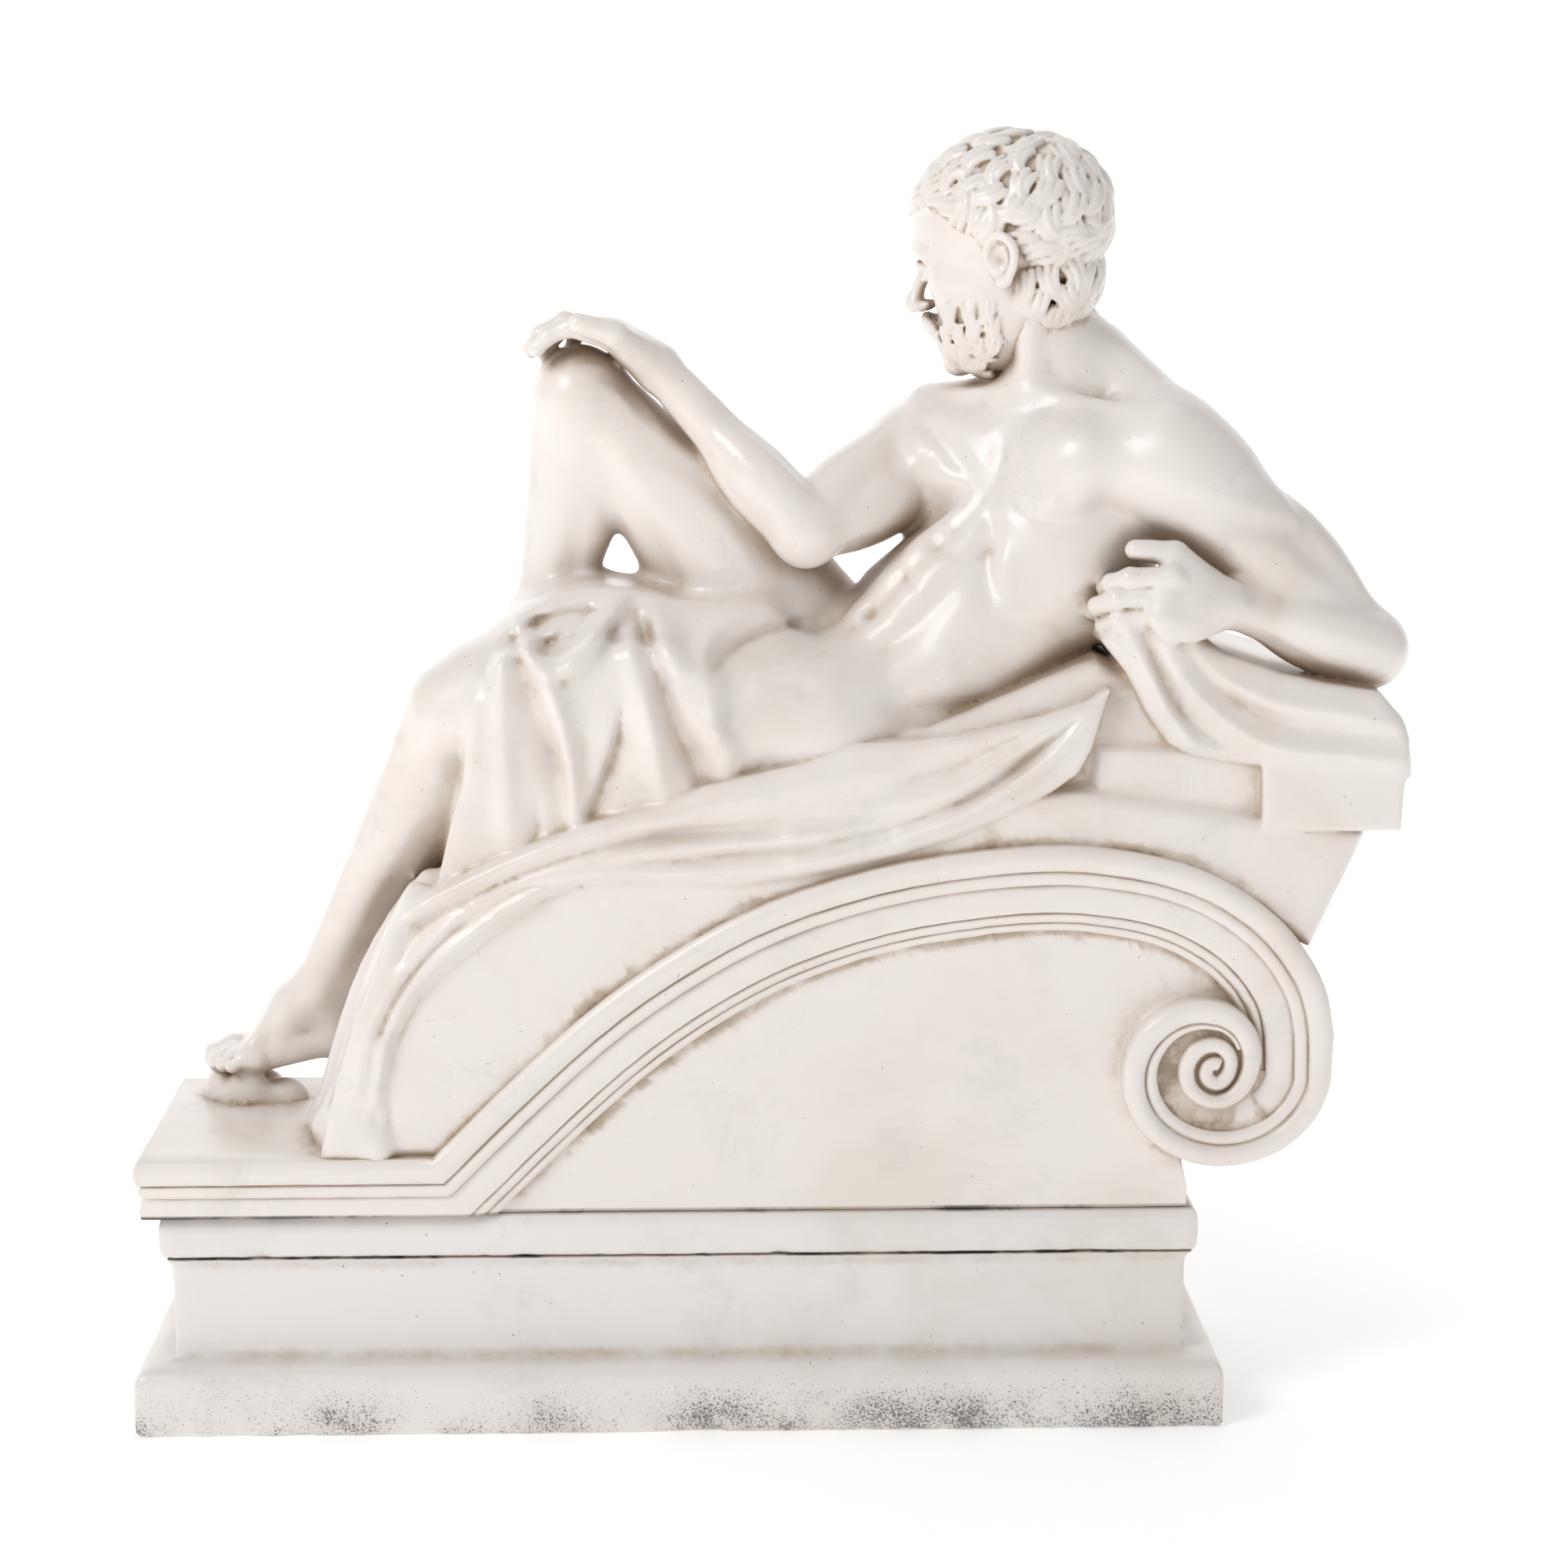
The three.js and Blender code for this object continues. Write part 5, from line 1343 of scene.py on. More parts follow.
def check_closed(thing: Thing) -> None:
    """Stop where a mesh has an edge that isn't shared by exactly two faces."""
    used = np.empty(len(thing.data.loops), dtype=np.int32)
    thing.data.loops.foreach_get("edge_index", used)
    open_edges = int((np.bincount(used, minlength=len(thing.data.edges)) != 2).sum())
    if open_edges:
        raise ValueError(f"{thing.name} has {open_edges} open edges")


def unite(first: Thing, others: list, operation: str = "UNION") -> Thing:
    """Join closed objects into the first one, or cut them out of it, as one closed surface."""
    for thing in (first, *others):
        check_closed(thing)
    for other in others:
        join = first.modifiers.new("join", "BOOLEAN")
        join.operation = operation
        join.solver = "MANIFOLD"
        join.object = other
    apply_modifiers(first)
    for other in others:
        bpy.data.objects.remove(other, do_unlink=True)
    return first


def thin(thing: Thing, faces: int) -> None:
    """Lower an object's triangle count to about a number, least where it is curved."""
    count = sum(len(p.vertices) - 2 for p in thing.data.polygons)
    if count > faces:
        lower = thing.modifiers.new("thin", "DECIMATE")
        lower.ratio = faces / count
        lower.use_collapse_triangulate = True
        apply_modifiers(thing)


def halve(body: bmesh.types.BMesh, edges: list) -> None:
    """Halve some edges of a mesh of triangles and keep it one of triangles."""
    bmesh.ops.subdivide_edges(body, edges=edges, cuts=1)
    bmesh.ops.triangulate(body, faces=[f for f in body.faces if len(f.verts) > 3])


def split_long_edges(thing: Thing) -> None:
    """Halve long edges, and shorter ones that leave a crease, so that dirt can stay close to it."""
    body = bmesh.new()
    body.from_mesh(thing.data)
    for _ in range(8):
        halve(body, [e for e in body.edges if e.calc_length() > LONGEST_EDGE * MM])
    creased = {v for e in body.edges if e.calc_face_angle_signed(0.0) < -CREASE_ANGLE
               for v in e.verts}
    halve(body, [e for e in body.edges if e.calc_length() > LONGEST_BY_CREASE * MM
                 and (e.verts[0] in creased) != (e.verts[1] in creased)])
    body.to_mesh(thing.data)
    body.free()


def lattice_noise(points: Array, size: float, seed: int) -> Array:
    """Give smooth noise from -1 to 1 at points, with lumps of a size."""
    side = 32
    lattice = np.random.RandomState(seed).uniform(-1, 1, (side, side, side))
    p = points / size
    i = np.floor(p).astype(int)
    return blend_corners(i, ease(p - i), lambda at: lattice[tuple((at % side).T)])


def vertex_table(mesh: bpy.types.Mesh, what: str) -> Array:
    """Read the vertices' places or normals."""
    out = np.empty(len(mesh.vertices) * 3)
    mesh.vertices.foreach_get(what, out)
    return out.reshape(-1, 3)


@dataclass
class WeatheringAndShade:
    """A stone's tool marks, and how hollow and creased it is, which the marble paints as patina, dirt and
    painted shade.
    """

    wobble: float = 0.35
    rays: int = 14
    reach: float = 0.06

    def apply(self, thing: Thing) -> None:
        """Wobble a mesh a little and note how hollow and creased it is at each vertex."""
        mesh = thing.data
        places, normals = vertex_table(mesh, "co"), vertex_table(mesh, "normal")
        lumps = lattice_noise(places, 0.016, 3) + 0.5 * lattice_noise(places, 0.007, 5)
        places = places + normals * (lumps * self.wobble * MM)[:, None]
        mesh.vertices.foreach_set("co", places.ravel())
        mesh.update()
        edges = np.empty(len(mesh.edges) * 2, dtype=np.int32)
        mesh.edges.foreach_get("vertices", edges)
        edges = edges.reshape(-1, 2)
        hollow = self._hollow(mesh, places, vertex_table(mesh, "normal"))
        crease = self._crease(places, vertex_table(mesh, "normal"), edges)
        for name, values, rounds in (("hollow", hollow, 2), ("crease", crease, 1)):
            for _ in range(rounds):
                values = self._spread(values, edges)
            mesh.attributes.new(name, "FLOAT", "POINT").data.foreach_set("value", values)

    def _hollow(self, mesh: bpy.types.Mesh, places: Array, normals: Array) -> Array:
        """Give the share of the view from each vertex that nearby stone closes."""
        tree = BVHTree.FromPolygons(places.tolist(), [tuple(p.vertices) for p in mesh.polygons])
        k = np.arange(self.rays)
        height = np.sqrt(1 - (k + 0.5) / self.rays)
        ring = np.sqrt(1 - height**2)
        turn = k * GOLDEN_TURN
        aims = np.stack([np.cos(turn) * ring, np.sin(turn) * ring, height], 1)
        side = np.cross(normals, np.where(np.abs(normals[:, 2:]) < 0.9, vec(0, 0, 1), vec(1, 0, 0)))
        side /= np.linalg.norm(side, axis=1)[:, None] + 1e-9
        other = np.cross(normals, side)
        starts = places + normals * 0.0008
        closed = np.zeros(len(places))
        for a, b, c in aims:
            ways = (a * side + b * other + c * normals).tolist()
            for i, (start, way) in enumerate(zip(starts.tolist(), ways)):
                far = tree.ray_cast(start, way, self.reach)[3]
                if far is not None:
                    closed[i] += 1 - 0.6 * far / self.reach
        return closed / self.rays

    def _crease(self, places: Array, normals: Array, edges: Array) -> Array:
        """Give how sharply each vertex is sunk among its neighbours."""
        a, b = edges.T
        way = places[b] - places[a]
        way /= np.linalg.norm(way, axis=1)[:, None] + 1e-9
        total = np.bincount(a, np.einsum("ij,ij->i", way, normals[a]), len(places))
        total -= np.bincount(b, np.einsum("ij,ij->i", way, normals[b]), len(places))
        return np.clip(total / self._neighbours(edges, len(places)) * 2.2, -1, 1)

    def _neighbours(self, edges: Array, count: int) -> Array:
        """Count each vertex's neighbours."""
        return np.bincount(edges.ravel(), minlength=count) + 1e-9

    def _spread(self, values: Array, edges: Array) -> Array:
        """Average each vertex's value with its neighbours'."""
        a, b = edges.T
        total = np.bincount(a, values[b], len(values)) + np.bincount(b, values[a], len(values))
        return 0.5 * values + 0.5 * total / self._neighbours(edges, len(values))


# --- the lid
@dataclass(frozen=True)
class Moulding:
    """One member of the lid's mouldings, in millimetres from the lid's outer edge.

    Its half_depth is how far it stands from the middle plane at its middle, its shoulder how far
    lower its edges are, ends_at the volute's quarter turn where it stops, and set_back how far it
    stays behind the roll at the ledge's end.
    """

    name: str
    width: float
    half_depth: float
    shoulder: float
    ends_at: float
    set_back: float = 2.5


@dataclass
class Lid:
    """The scroll-ended lid: ledge, arch, volute and the panel that they frame."""

    bed: float = 164.0
    ledge_top: float = 209.0
    ledge_end: float = -395.0
    arch: tuple = (
        (-179, 209), (-125, 263), (-60, 322), (5, 367), (70, 400), (152, 425), (238, 437),
        (296, 437), (354, 427), (397, 409), (430, 385), (453, 358), (468, 328), (474, 298),
    )
    eye: tuple = (389.0, 270.0)
    radii: tuple = (85, 71, 67.5, 53, 31, 27.5, 28, 26, 16, 15, 13, 11.5, 10.5)
    roll_widths: tuple = (17, 16, 16, 18, 13, 10, 12.5, 12, 12, 12, 11.5, 11, 10)
    arch_steps: int = 44
    quarter_steps: int = 14
    end_bulge: float = 0.75
    roll: Moulding = Moulding("roll", 19, 112, 5, 11.3, 0)
    others: tuple = (
        Moulding("fillet", 9, 108.5, 2.2, 3.7), Moulding("flat", 21, 104.5, 1.2, 0.5),
        Moulding("bead", 8, 102, 2.4, 0.5), Moulding("lip", 6.5, 99, 2.0, 0.2),
    )

    def build(self) -> Thing:
        """Build the lid as one closed object."""
        edge = self._edge()
        pieces = [self._strip(edge, self.roll, lambda turn: 0.0)]
        outer = 0.0
        for part in self.others:
            before = outer
            pieces.append(self._strip(edge, part, lambda turn, by=before: self._roll(turn) + by))
            outer += part.width
        pieces.append(self._prism("whorl", [p["at"] + p["in"] * 9 for p in edge if 0 <= p["turn"] <= 4],
                                  103.0))
        field_top = [p["at"] + p["in"] * 20 for p in edge if p["turn"] < 0][1:]
        corner = [vec(*self.eye), vec(366, 206), vec(372, 180), vec(372, self.bed - 5),
                  vec(-170, self.bed - 5)]
        pieces.append(self._prism("panel", field_top + corner, 93.0))
        pieces.append(self._flare())
        first, rest = pieces[0], pieces[1:]
        below = [vec(-450, self.bed), vec(-450, 100), vec(550, 100), vec(550, self.bed)]
        return unite(unite(first, rest), [self._prism("below", below, 150.0)], "DIFFERENCE")

    def _roll(self, turn: float) -> float:
        """Give the width of the roll at a turn of the volute."""
        if turn < 0:
            return self.roll.width
        return float(np.interp(turn, range(len(self.roll_widths)), self.roll_widths))

    def _radius(self, turn: float) -> float:
        """Give the volute's radius at a turn, smooth between the quarters."""
        r = self.radii
        k = min(len(r) - 2, int(turn))
        return curve_between(r[max(k - 1, 0)], r[k], r[k + 1], r[min(k + 2, len(r) - 1)], turn - k)

    def _edge(self) -> list:
        """List stations along the outer edge with their turn and the way inwards."""
        places = [(vec(self.ledge_end, self.ledge_top), -1.0), (vec(-290, self.ledge_top), -1.0)]
        places += [(p, -1.0) for p in smooth_path([vec(*p) for p in self.arch], self.arch_steps)]
        for i in range(1, int(self.roll.ends_at * self.quarter_steps) + 1):
            turn = i / self.quarter_steps
            angle = -turn * math.pi / 2
            way = vec(math.cos(angle), math.sin(angle))
            places.append((vec(*self.eye) + self._radius(turn) * way, turn))
        out = []
        for i, (at, turn) in enumerate(places):
            before = places[max(i, 1)][0] - places[max(i, 1) - 1][0]
            last = min(i, len(places) - 2)
            after = places[last + 1][0] - places[last][0]
            a, b = (unit(vec(v[1], -v[0])) for v in (before, after))
            middle = unit(a + b)
            out.append({"at": at, "turn": turn, "in": middle / max(middle.dot(b), 0.5)})
        return out

    def _strip(self, edge: list, part: Moulding, offset: Callable[[float], float]) -> Thing:
        """Sweep one moulding along the edge, with the same face at the front and the back.

        Args:
            edge: the stations.
            part: the moulding.
            offset: its distance from the outer edge at a turn.

        Returns:
            A closed object.
        """
        shape = [(0.0, 1.0), (0.06, 0.62), (0.16, 0.3), (0.32, 0.08), (0.5, 0.0), (0.68, 0.08),
                 (0.84, 0.3), (0.94, 0.62), (1.0, 1.0)]
        rings = []
        for p in edge:
            if p["turn"] > part.ends_at:
                break
            wide = self._roll(p["turn"]) if part is self.roll else part.width
            if part is not self.roll and part.ends_at > 1:
                wide *= 1 - 0.75 * float(ease((p["turn"] - 1.5) / 2))
            lower = part.shoulder * min(1.0, wide / part.width + 0.2)
            depth = part.half_depth
            if part is self.roll:
                depth -= 3.5 * float(ease((p["turn"] - 3) / 6))
            front = []
            for share, drop in shape:
                grow = 0.6 if share in (0.0, 1.0) and part is not self.roll else 0.0
                across = offset(p["turn"]) + wide * share + grow * (2 * share - 1)
                x, z = p["at"] + p["in"] * across
                front.append((x, -depth + lower * drop, z))
            back = [(x, -y, z) for x, y, z in reversed(front)]
            rings.append(front + back)
        half = len(shape) // 2
        rings[0] = [(self.ledge_end + part.set_back + self.end_bulge * abs(i % len(shape) - half), y, z)
                    for i, (x, y, z) in enumerate(rings[0])]
        return self._loft(part.name, rings)

    def _loft(self, name: str, rings: list) -> Thing:
        """Join closed rings of equal count into a closed object."""
        n = len(rings[0])
        faces = ring_faces(len(rings), n)
        faces.append(tuple(range(n)))
        faces.append(tuple(reversed(range((len(rings) - 1) * n, len(rings) * n))))
        points = np.array([p for ring in rings for p in ring])
        return self._outward(mesh_object(name, points, faces))

    def _prism(self, name: str, outline: list, half_depth: float) -> Thing:
        """Make a straight body with an outline in the XZ plane."""
        n = len(outline)
        points = [(x, y, z) for y in (-half_depth, half_depth) for x, z in outline]
        faces = [tuple(range(n)), tuple(reversed(range(n, 2 * n)))]
        faces += [(i, i + n, (i + 1) % n + n, (i + 1) % n) for i in range(n)]
        return self._outward(mesh_object(name, np.array(points), faces))

    def _flare(self) -> Thing:
        """Make the collar where the volute's wall meets the panel."""
        x, z = self.eye
        turns = np.linspace(4.0, 1.4, 19)
        rings = []
        for grow, y in ((0, -102.0), (0, -99.0), (3, -95.0), (8, -92.5), (8, 92.5), (3, 95.0),
                        (0, 99.0), (0, 102.0)):
            ring = []
            for turn in turns:
                radius = self._radius(turn) - 2 + grow
                angle = -turn * math.pi / 2
                ring.append((x + radius * math.cos(angle), y, z + radius * math.sin(angle)))
            rings.append(ring + [(x, y, z)])
        return self._loft("collar", rings)

    def _outward(self, thing: Thing) -> Thing:
        """Split faces into triangles and turn them outwards."""
        work = bmesh.new()
        work.from_mesh(thing.data)
        bmesh.ops.triangulate(work, faces=work.faces)
        bmesh.ops.recalc_face_normals(work, faces=work.faces)
        if work.calc_volume(signed=True) < 0:
            bmesh.ops.reverse_faces(work, faces=work.faces)
        work.to_mesh(thing.data)
        work.free()
        return thing


# --- the plinth
@dataclass
class Plinth:
    """The moulded plinth: a base slab, a dado and a band under the lid."""

    corner: float = 3.0
    step: float = 6.0
    profile: tuple = (
        (0.0, 396, 111), (1.2, 398.4, 113.4), (4, 400, 115), (12, 400, 115), (20, 400, 115),
        (28, 400, 115), (36, 400, 115), (42, 399.6, 114.6), (46, 398, 113), (48.6, 395, 110),
        (50, 390, 105), (50.3, 384, 99), (50.8, 378, 93), (52.5, 374.6, 89.6), (55, 373.2, 88.2),
        (60, 373, 88), (70, 373, 88), (82, 373, 88), (94, 373, 88), (106, 373, 88), (116, 373, 88),
        (122, 373.4, 88.4), (126, 375, 90.4), (128.2, 377, 93), (129.2, 377.4, 93.4),
        (130.0, 375.5, 91.5), (130.8, 377.6, 93.6), (132, 379, 95.2), (135, 380.2, 96.2),
        (141, 380.8, 96.9), (148, 381, 97), (155, 380.6, 96.7), (159.5, 379.4, 95.6),
        (162.4, 377, 93.4), (163.7, 374, 90.5),
    )

    def build(self) -> Thing:
        """Build the plinth as one closed object."""
        rings = [self._ring(*level) for level in self.profile]
        n = len(rings[0])
        faces = [face[:1] + face[:0:-1] for face in ring_faces(len(rings), n)]
        points = [p for ring in rings for p in ring]
        for ring, turn in ((0, -1), (len(rings) - 1, 1)):
            centre = len(points)
            points.append((0.0, 0.0, self.profile[ring][0]))
            for j in range(n):
                a, b = ring * n + j, ring * n + (j + 1) % n
                faces.append((a, b, centre) if turn > 0 else (b, a, centre))
        return mesh_object("plinth_stone", self._chip(np.array(points)), faces)

    def _ring(self, z: float, half_length: float, half_depth: float) -> list:
        """Give points round a rectangle with rounded corners, the same count at each level."""
        first = self.profile[3]
        along = int(2 * first[1] / self.step)
        deep = int(2 * first[2] / self.step)
        r = self.corner
        out = []
        for sx, sy, ex, ey, count in ((-1, -1, 1, -1, along), (1, -1, 1, 1, deep),
                                      (1, 1, -1, 1, along), (-1, 1, -1, -1, deep)):
            a = vec(sx * (half_length - r), sy * (half_depth - r))
            b = vec(ex * (half_length - r), ey * (half_depth - r))
            out_way = unit(vec((b - a)[1], -(b - a)[0]))
            for i in range(count + 1):
                x, y = between(a, b, i / count) + out_way * r
                out.append((x, y, z))
            turn_to = unit(vec(out_way[0] - out_way[1], out_way[1] + out_way[0]))
            x, y = b + turn_to * r
            out.append((x, y, z))
        return out

    def _chip(self, points: Array) -> Array:
        """Knock small losses out of the arrises and a larger one out of the base's lower edge."""
        inward = -np.sign(points) * [1, 1, 0]
        noise = lattice_noise(points, 14, 21) + 0.6 * lattice_noise(points, 6, 22)
        arris = sum(np.exp(-((points[:, 2] - z) / w) ** 2) for z, w in
                    ((0, 5), (48, 4), (163, 3), (131, 2.5)))
        loss = np.clip(noise - 0.35, 0, 1) * arris * 3.2
        spot = np.exp(-((points[:, 0] - 12) / 22) ** 2 - ((points[:, 2] - 2) / 12) ** 2)
        loss += spot * (points[:, 1] < -80) * (3.2 + 2 * noise)
        outer = (np.abs(points[:, :2]) > [360, 80]) & (loss[:, None] > 0)
        points[:, :2] += inward[:, :2] * outer * loss[:, None]
        return points


# --- finishes
class Graph:
    """Short words for building a node tree."""

    def __init__(self, tree: Tree) -> None:
        """Take a node tree and empty it."""
        self.tree = tree
        tree.nodes.clear()

    def node(self, kind: str, settings: dict | None = None, **inputs: object) -> bpy.types.Node:
        """Add a node.

        Args:
            kind: its Blender type without the ShaderNode prefix.
            settings: its properties.
            **inputs: values or sockets for its inputs, with _ for a space in their names.

        Returns:
            The node.
        """
        node = self.tree.nodes.new(kind if kind.startswith("Node") else "ShaderNode" + kind)
        for name, value in (settings or {}).items():
            setattr(node, name, value)
        for name, value in inputs.items():
            key = int(name[1:]) if name[0] == "i" and name[1:].isdigit() else name.replace("_", " ")
            socket = node.inputs[key]
            if isinstance(value, Socket):
                self.tree.links.new(value, socket)
            else:
                socket.default_value = value
        return node

    def math(self, operation: str, *values: object, clamp: bool = False) -> Socket:
        """Add a math node and give its result."""
        inputs = {f"i{i}": v for i, v in enumerate(values)}
        return self.node("Math", {"operation": operation, "use_clamp": clamp}, **inputs).outputs[0]

    def times(self, first: object, *others: object, clamp: bool = False) -> Socket:
        """Multiply values, one after the other."""
        for other in others:
            first = self.math("MULTIPLY", first, other, clamp=clamp)
        return first

    def plus(self, a: object, b: object, clamp: bool = False) -> Socket:
        """Add two values."""
        return self.math("ADD", a, b, clamp=clamp)

    def minus(self, a: object, b: object) -> Socket:
        """Take the second value from the first."""
        return self.math("SUBTRACT", a, b)

    def ragged(self, value: object, noise: Socket, amount: float) -> Socket:
        """Make a value uneven by an amount of noise."""
        return self.plus(value, self.times(self.minus(noise, 0.5), amount))

    @cached_property
    def place(self) -> Socket:
        """The place on the object."""
        return self.node("TexCoord").outputs["Object"]

    def noise(self, scale: float, detail: float = 4.0, rough: float = 0.55,
              warp: float = 0.0) -> Socket:
        """Add noise over the object and give its value."""
        return self.node("TexNoise", None, Vector=self.place, Scale=scale, Detail=detail,
                         Roughness=rough, Distortion=warp).outputs[0]

    def ramp(self, value: object, low: float, high: float) -> Socket:
        """Map a value smoothly from between two limits to 0 to 1."""
        return self.node("MapRange", {"interpolation_type": "SMOOTHSTEP"}, Value=value,
                         From_Min=low, From_Max=high).outputs[0]

    def mix(self, share: object, a: object, b: object) -> Socket:
        """Mix two colours and give the result."""
        return self.node("Mix", {"data_type": "RGBA"}, i0=share, i6=a, i7=b).outputs[2]


class Group(Graph):
    """A shared shader node group that is being built."""

    def __init__(self, name: str, outputs: tuple, **inputs: tuple | float) -> None:
        """Make the group with its sockets.

        Args:
            name: its name.
            outputs: its outputs' names; Color is a colour and any other one a number.
            **inputs: the default of each input, a tuple for a colour.
        """
        super().__init__(bpy.data.node_groups.new(name, "ShaderNodeTree"))
        for label, value in inputs.items():
            self._socket(label, "INPUT", isinstance(value, tuple)).default_value = value
        for label in outputs:
            self._socket(label, "OUTPUT", label == "Color")
        self.given = self.node("NodeGroupInput").outputs

    def _socket(self, label: str, way: str, colour: bool) -> bpy.types.NodeTreeInterfaceSocket:
        """Add a socket to the group."""
        kind = "NodeSocketColor" if colour else "NodeSocketFloat"
        return self.tree.interface.new_socket(label, in_out=way, socket_type=kind)

    def give(self, **outputs: Socket) -> Tree:
        """Link the group's outputs and give the group."""
        self.node("NodeGroupOutput", None, **outputs)
        return self.tree


def rgb(red: float, green: float, blue: float) -> tuple:
    """Turn display colour from 0 to 255 into linear colour."""
    return tuple(((v / 255 + 0.055) / 1.055) ** 2.4 for v in (red, green, blue)) + (1.0,)


def clouds_group() -> Tree:
    """Make the marble's own clouds and faint veins."""
    g = Group("marble_clouds", ("Color", "Patches"), Light=rgb(240, 236, 229),
              Warm=rgb(226, 214, 196), Grey=rgb(214, 211, 206), Amount=1.0)
    given = g.given
    broad = g.noise(4.5, 5, 0.6, 0.8)
    middle = g.noise(14.0, 5, 0.6, 0.5)
    warm = g.times(g.ramp(broad, 0.45, 0.72), given["Amount"])
    grey = g.times(g.ramp(middle, 0.52, 0.8), given["Amount"])
    course = g.math("ABSOLUTE", g.minus(g.noise(5.0, 4, 0.6, 2.5), 0.5))
    vein = g.minus(1.0, g.ramp(course, 0.0, 0.02))
    vein = g.times(vein, g.times(g.ramp(middle, 0.45, 0.65), 0.22))
    colour = g.mix(g.times(warm, 0.55), given["Light"], given["Warm"])
    colour = g.mix(g.times(grey, 0.45), colour, given["Grey"])
    return g.give(Color=g.mix(vein, colour, given["Grey"]), Patches=broad)


def patina_dirt_and_shade_group() -> Tree:
    """Make brown in hollows, partly patina and partly painted shade, yellow dirt in creases and black
    dirt in the deepest lines.
    """
    g = Group("old_dirt_and_painted_shade", ("Color", "Mask"), Color=WHITE, Brown=rgb(172, 150, 130),
              Yellow=rgb(190, 167, 140), Black=rgb(44, 40, 36), Patina=0.8, Lines=0.6)
    given = g.given
    hollow, crease = (g.node("Attribute", {"attribute_name": name}).outputs["Fac"]
                      for name in ("hollow", "crease"))
    uneven = g.noise(22.0, 5, 0.65)
    fine = g.noise(160.0, 4, 0.7)
    # Brown where nearby stone closes the view: partly patina in the hollows, partly painted shade.
    shade = g.ramp(g.ragged(hollow, uneven, 0.22), 0.1, 0.6)
    shade = g.times(shade, given["Patina"], clamp=True)
    line = g.times(g.ramp(g.ragged(crease, fine, 0.25), 0.06, 0.4), g.ramp(uneven, 0.3, 0.6))
    line = g.times(line, given["Patina"], clamp=True)
    deep = g.ramp(g.ragged(crease, fine, 0.7), 0.42, 0.6)
    deep = g.times(deep, g.times(g.ramp(uneven, 0.48, 0.56), given["Lines"]), clamp=True)
    colour = g.mix(shade, given["Color"], given["Brown"])
    colour = g.mix(g.times(line, 0.9), colour, given["Yellow"])
    mask = g.math("MAXIMUM", g.math("MAXIMUM", shade, line), deep)
    return g.give(Color=g.mix(deep, colour, given["Black"]), Mask=mask)


def seams_group() -> Tree:
    """Make the broken black lines in the two joints and the specks that rise from the ground."""
    g = Group("seams_and_ground", ("Color",), Color=WHITE, Black=rgb(50, 45, 41),
              Brown=rgb(158, 140, 124), Grey=rgb(98, 92, 88), Ground=0.0)
    given = g.given
    height = g.node("SeparateXYZ", None, Vector=g.place).outputs[2]
    patches = g.noise(8.0, 3, 0.6)
    broken = g.noise(24.0, 4, 0.7)
    fine = g.noise(620.0, 3, 0.7)
    colour = given["Color"]
    for level, wide in ((BED, 0.0018), (GROOVE, 0.0015)):
        away = g.math("ABSOLUTE", g.minus(height, level))
        near = g.minus(1.0, g.ramp(away, wide * 0.3, wide * 1.7))
        colour = g.mix(g.times(near, 0.75), colour, given["Brown"])
        share = g.ramp(g.plus(g.times(patches, 0.6), g.times(broken, 0.4)), 0.47, 0.56)
        colour = g.mix(g.times(near, share, 0.9), colour, given["Black"])
    low = g.minus(1.0, g.ramp(height, 0.0, 0.05))
    amount = g.times(low, g.ramp(g.plus(patches, g.times(broken, 0.5)), 0.55, 1.05))
    specks = g.ramp(g.plus(fine, g.times(amount, 0.3)), 0.62, 0.74)
    specks = g.times(specks, g.math("GREATER_THAN", amount, 0.01), given["Ground"])
    colour = g.mix(g.times(amount, 0.35, given["Ground"]), colour, given["Brown"])
    return g.give(Color=g.mix(specks, colour, given["Grey"]))


def pits_group() -> Tree:
    """Make pinholes, black specks and the fine unevenness of hand polish."""
    g = Group("pits_and_specks", ("Color", "Height"), Color=WHITE, Black=rgb(58, 52, 47),
              Specks=0.5, Relief=1.0)
    given = g.given
    cells = g.node("TexVoronoi", {"feature": "F1"}, Vector=g.place, Scale=210.0, Randomness=1.0)
    chance = g.node("SeparateColor", None, Color=cells.outputs["Color"]).outputs[0]
    patch = g.ramp(g.noise(9.0, 3), 0.45, 0.7)
    rare = g.math("GREATER_THAN", g.plus(chance, g.times(patch, 0.06)), 0.985)
    hole = g.times(g.minus(1.0, g.ramp(cells.outputs["Distance"], 0.05, 0.2)), rare)
    share = g.times(hole, given["Specks"], clamp=True)
    height = g.plus(g.times(g.noise(60.0, 3, 0.5), 0.6), g.times(g.noise(420.0, 3, 0.6), 0.12))
    height = g.times(g.minus(height, g.times(hole, 0.8)), given["Relief"])
    return g.give(Color=g.mix(share, given["Color"], given["Black"]), Height=height)


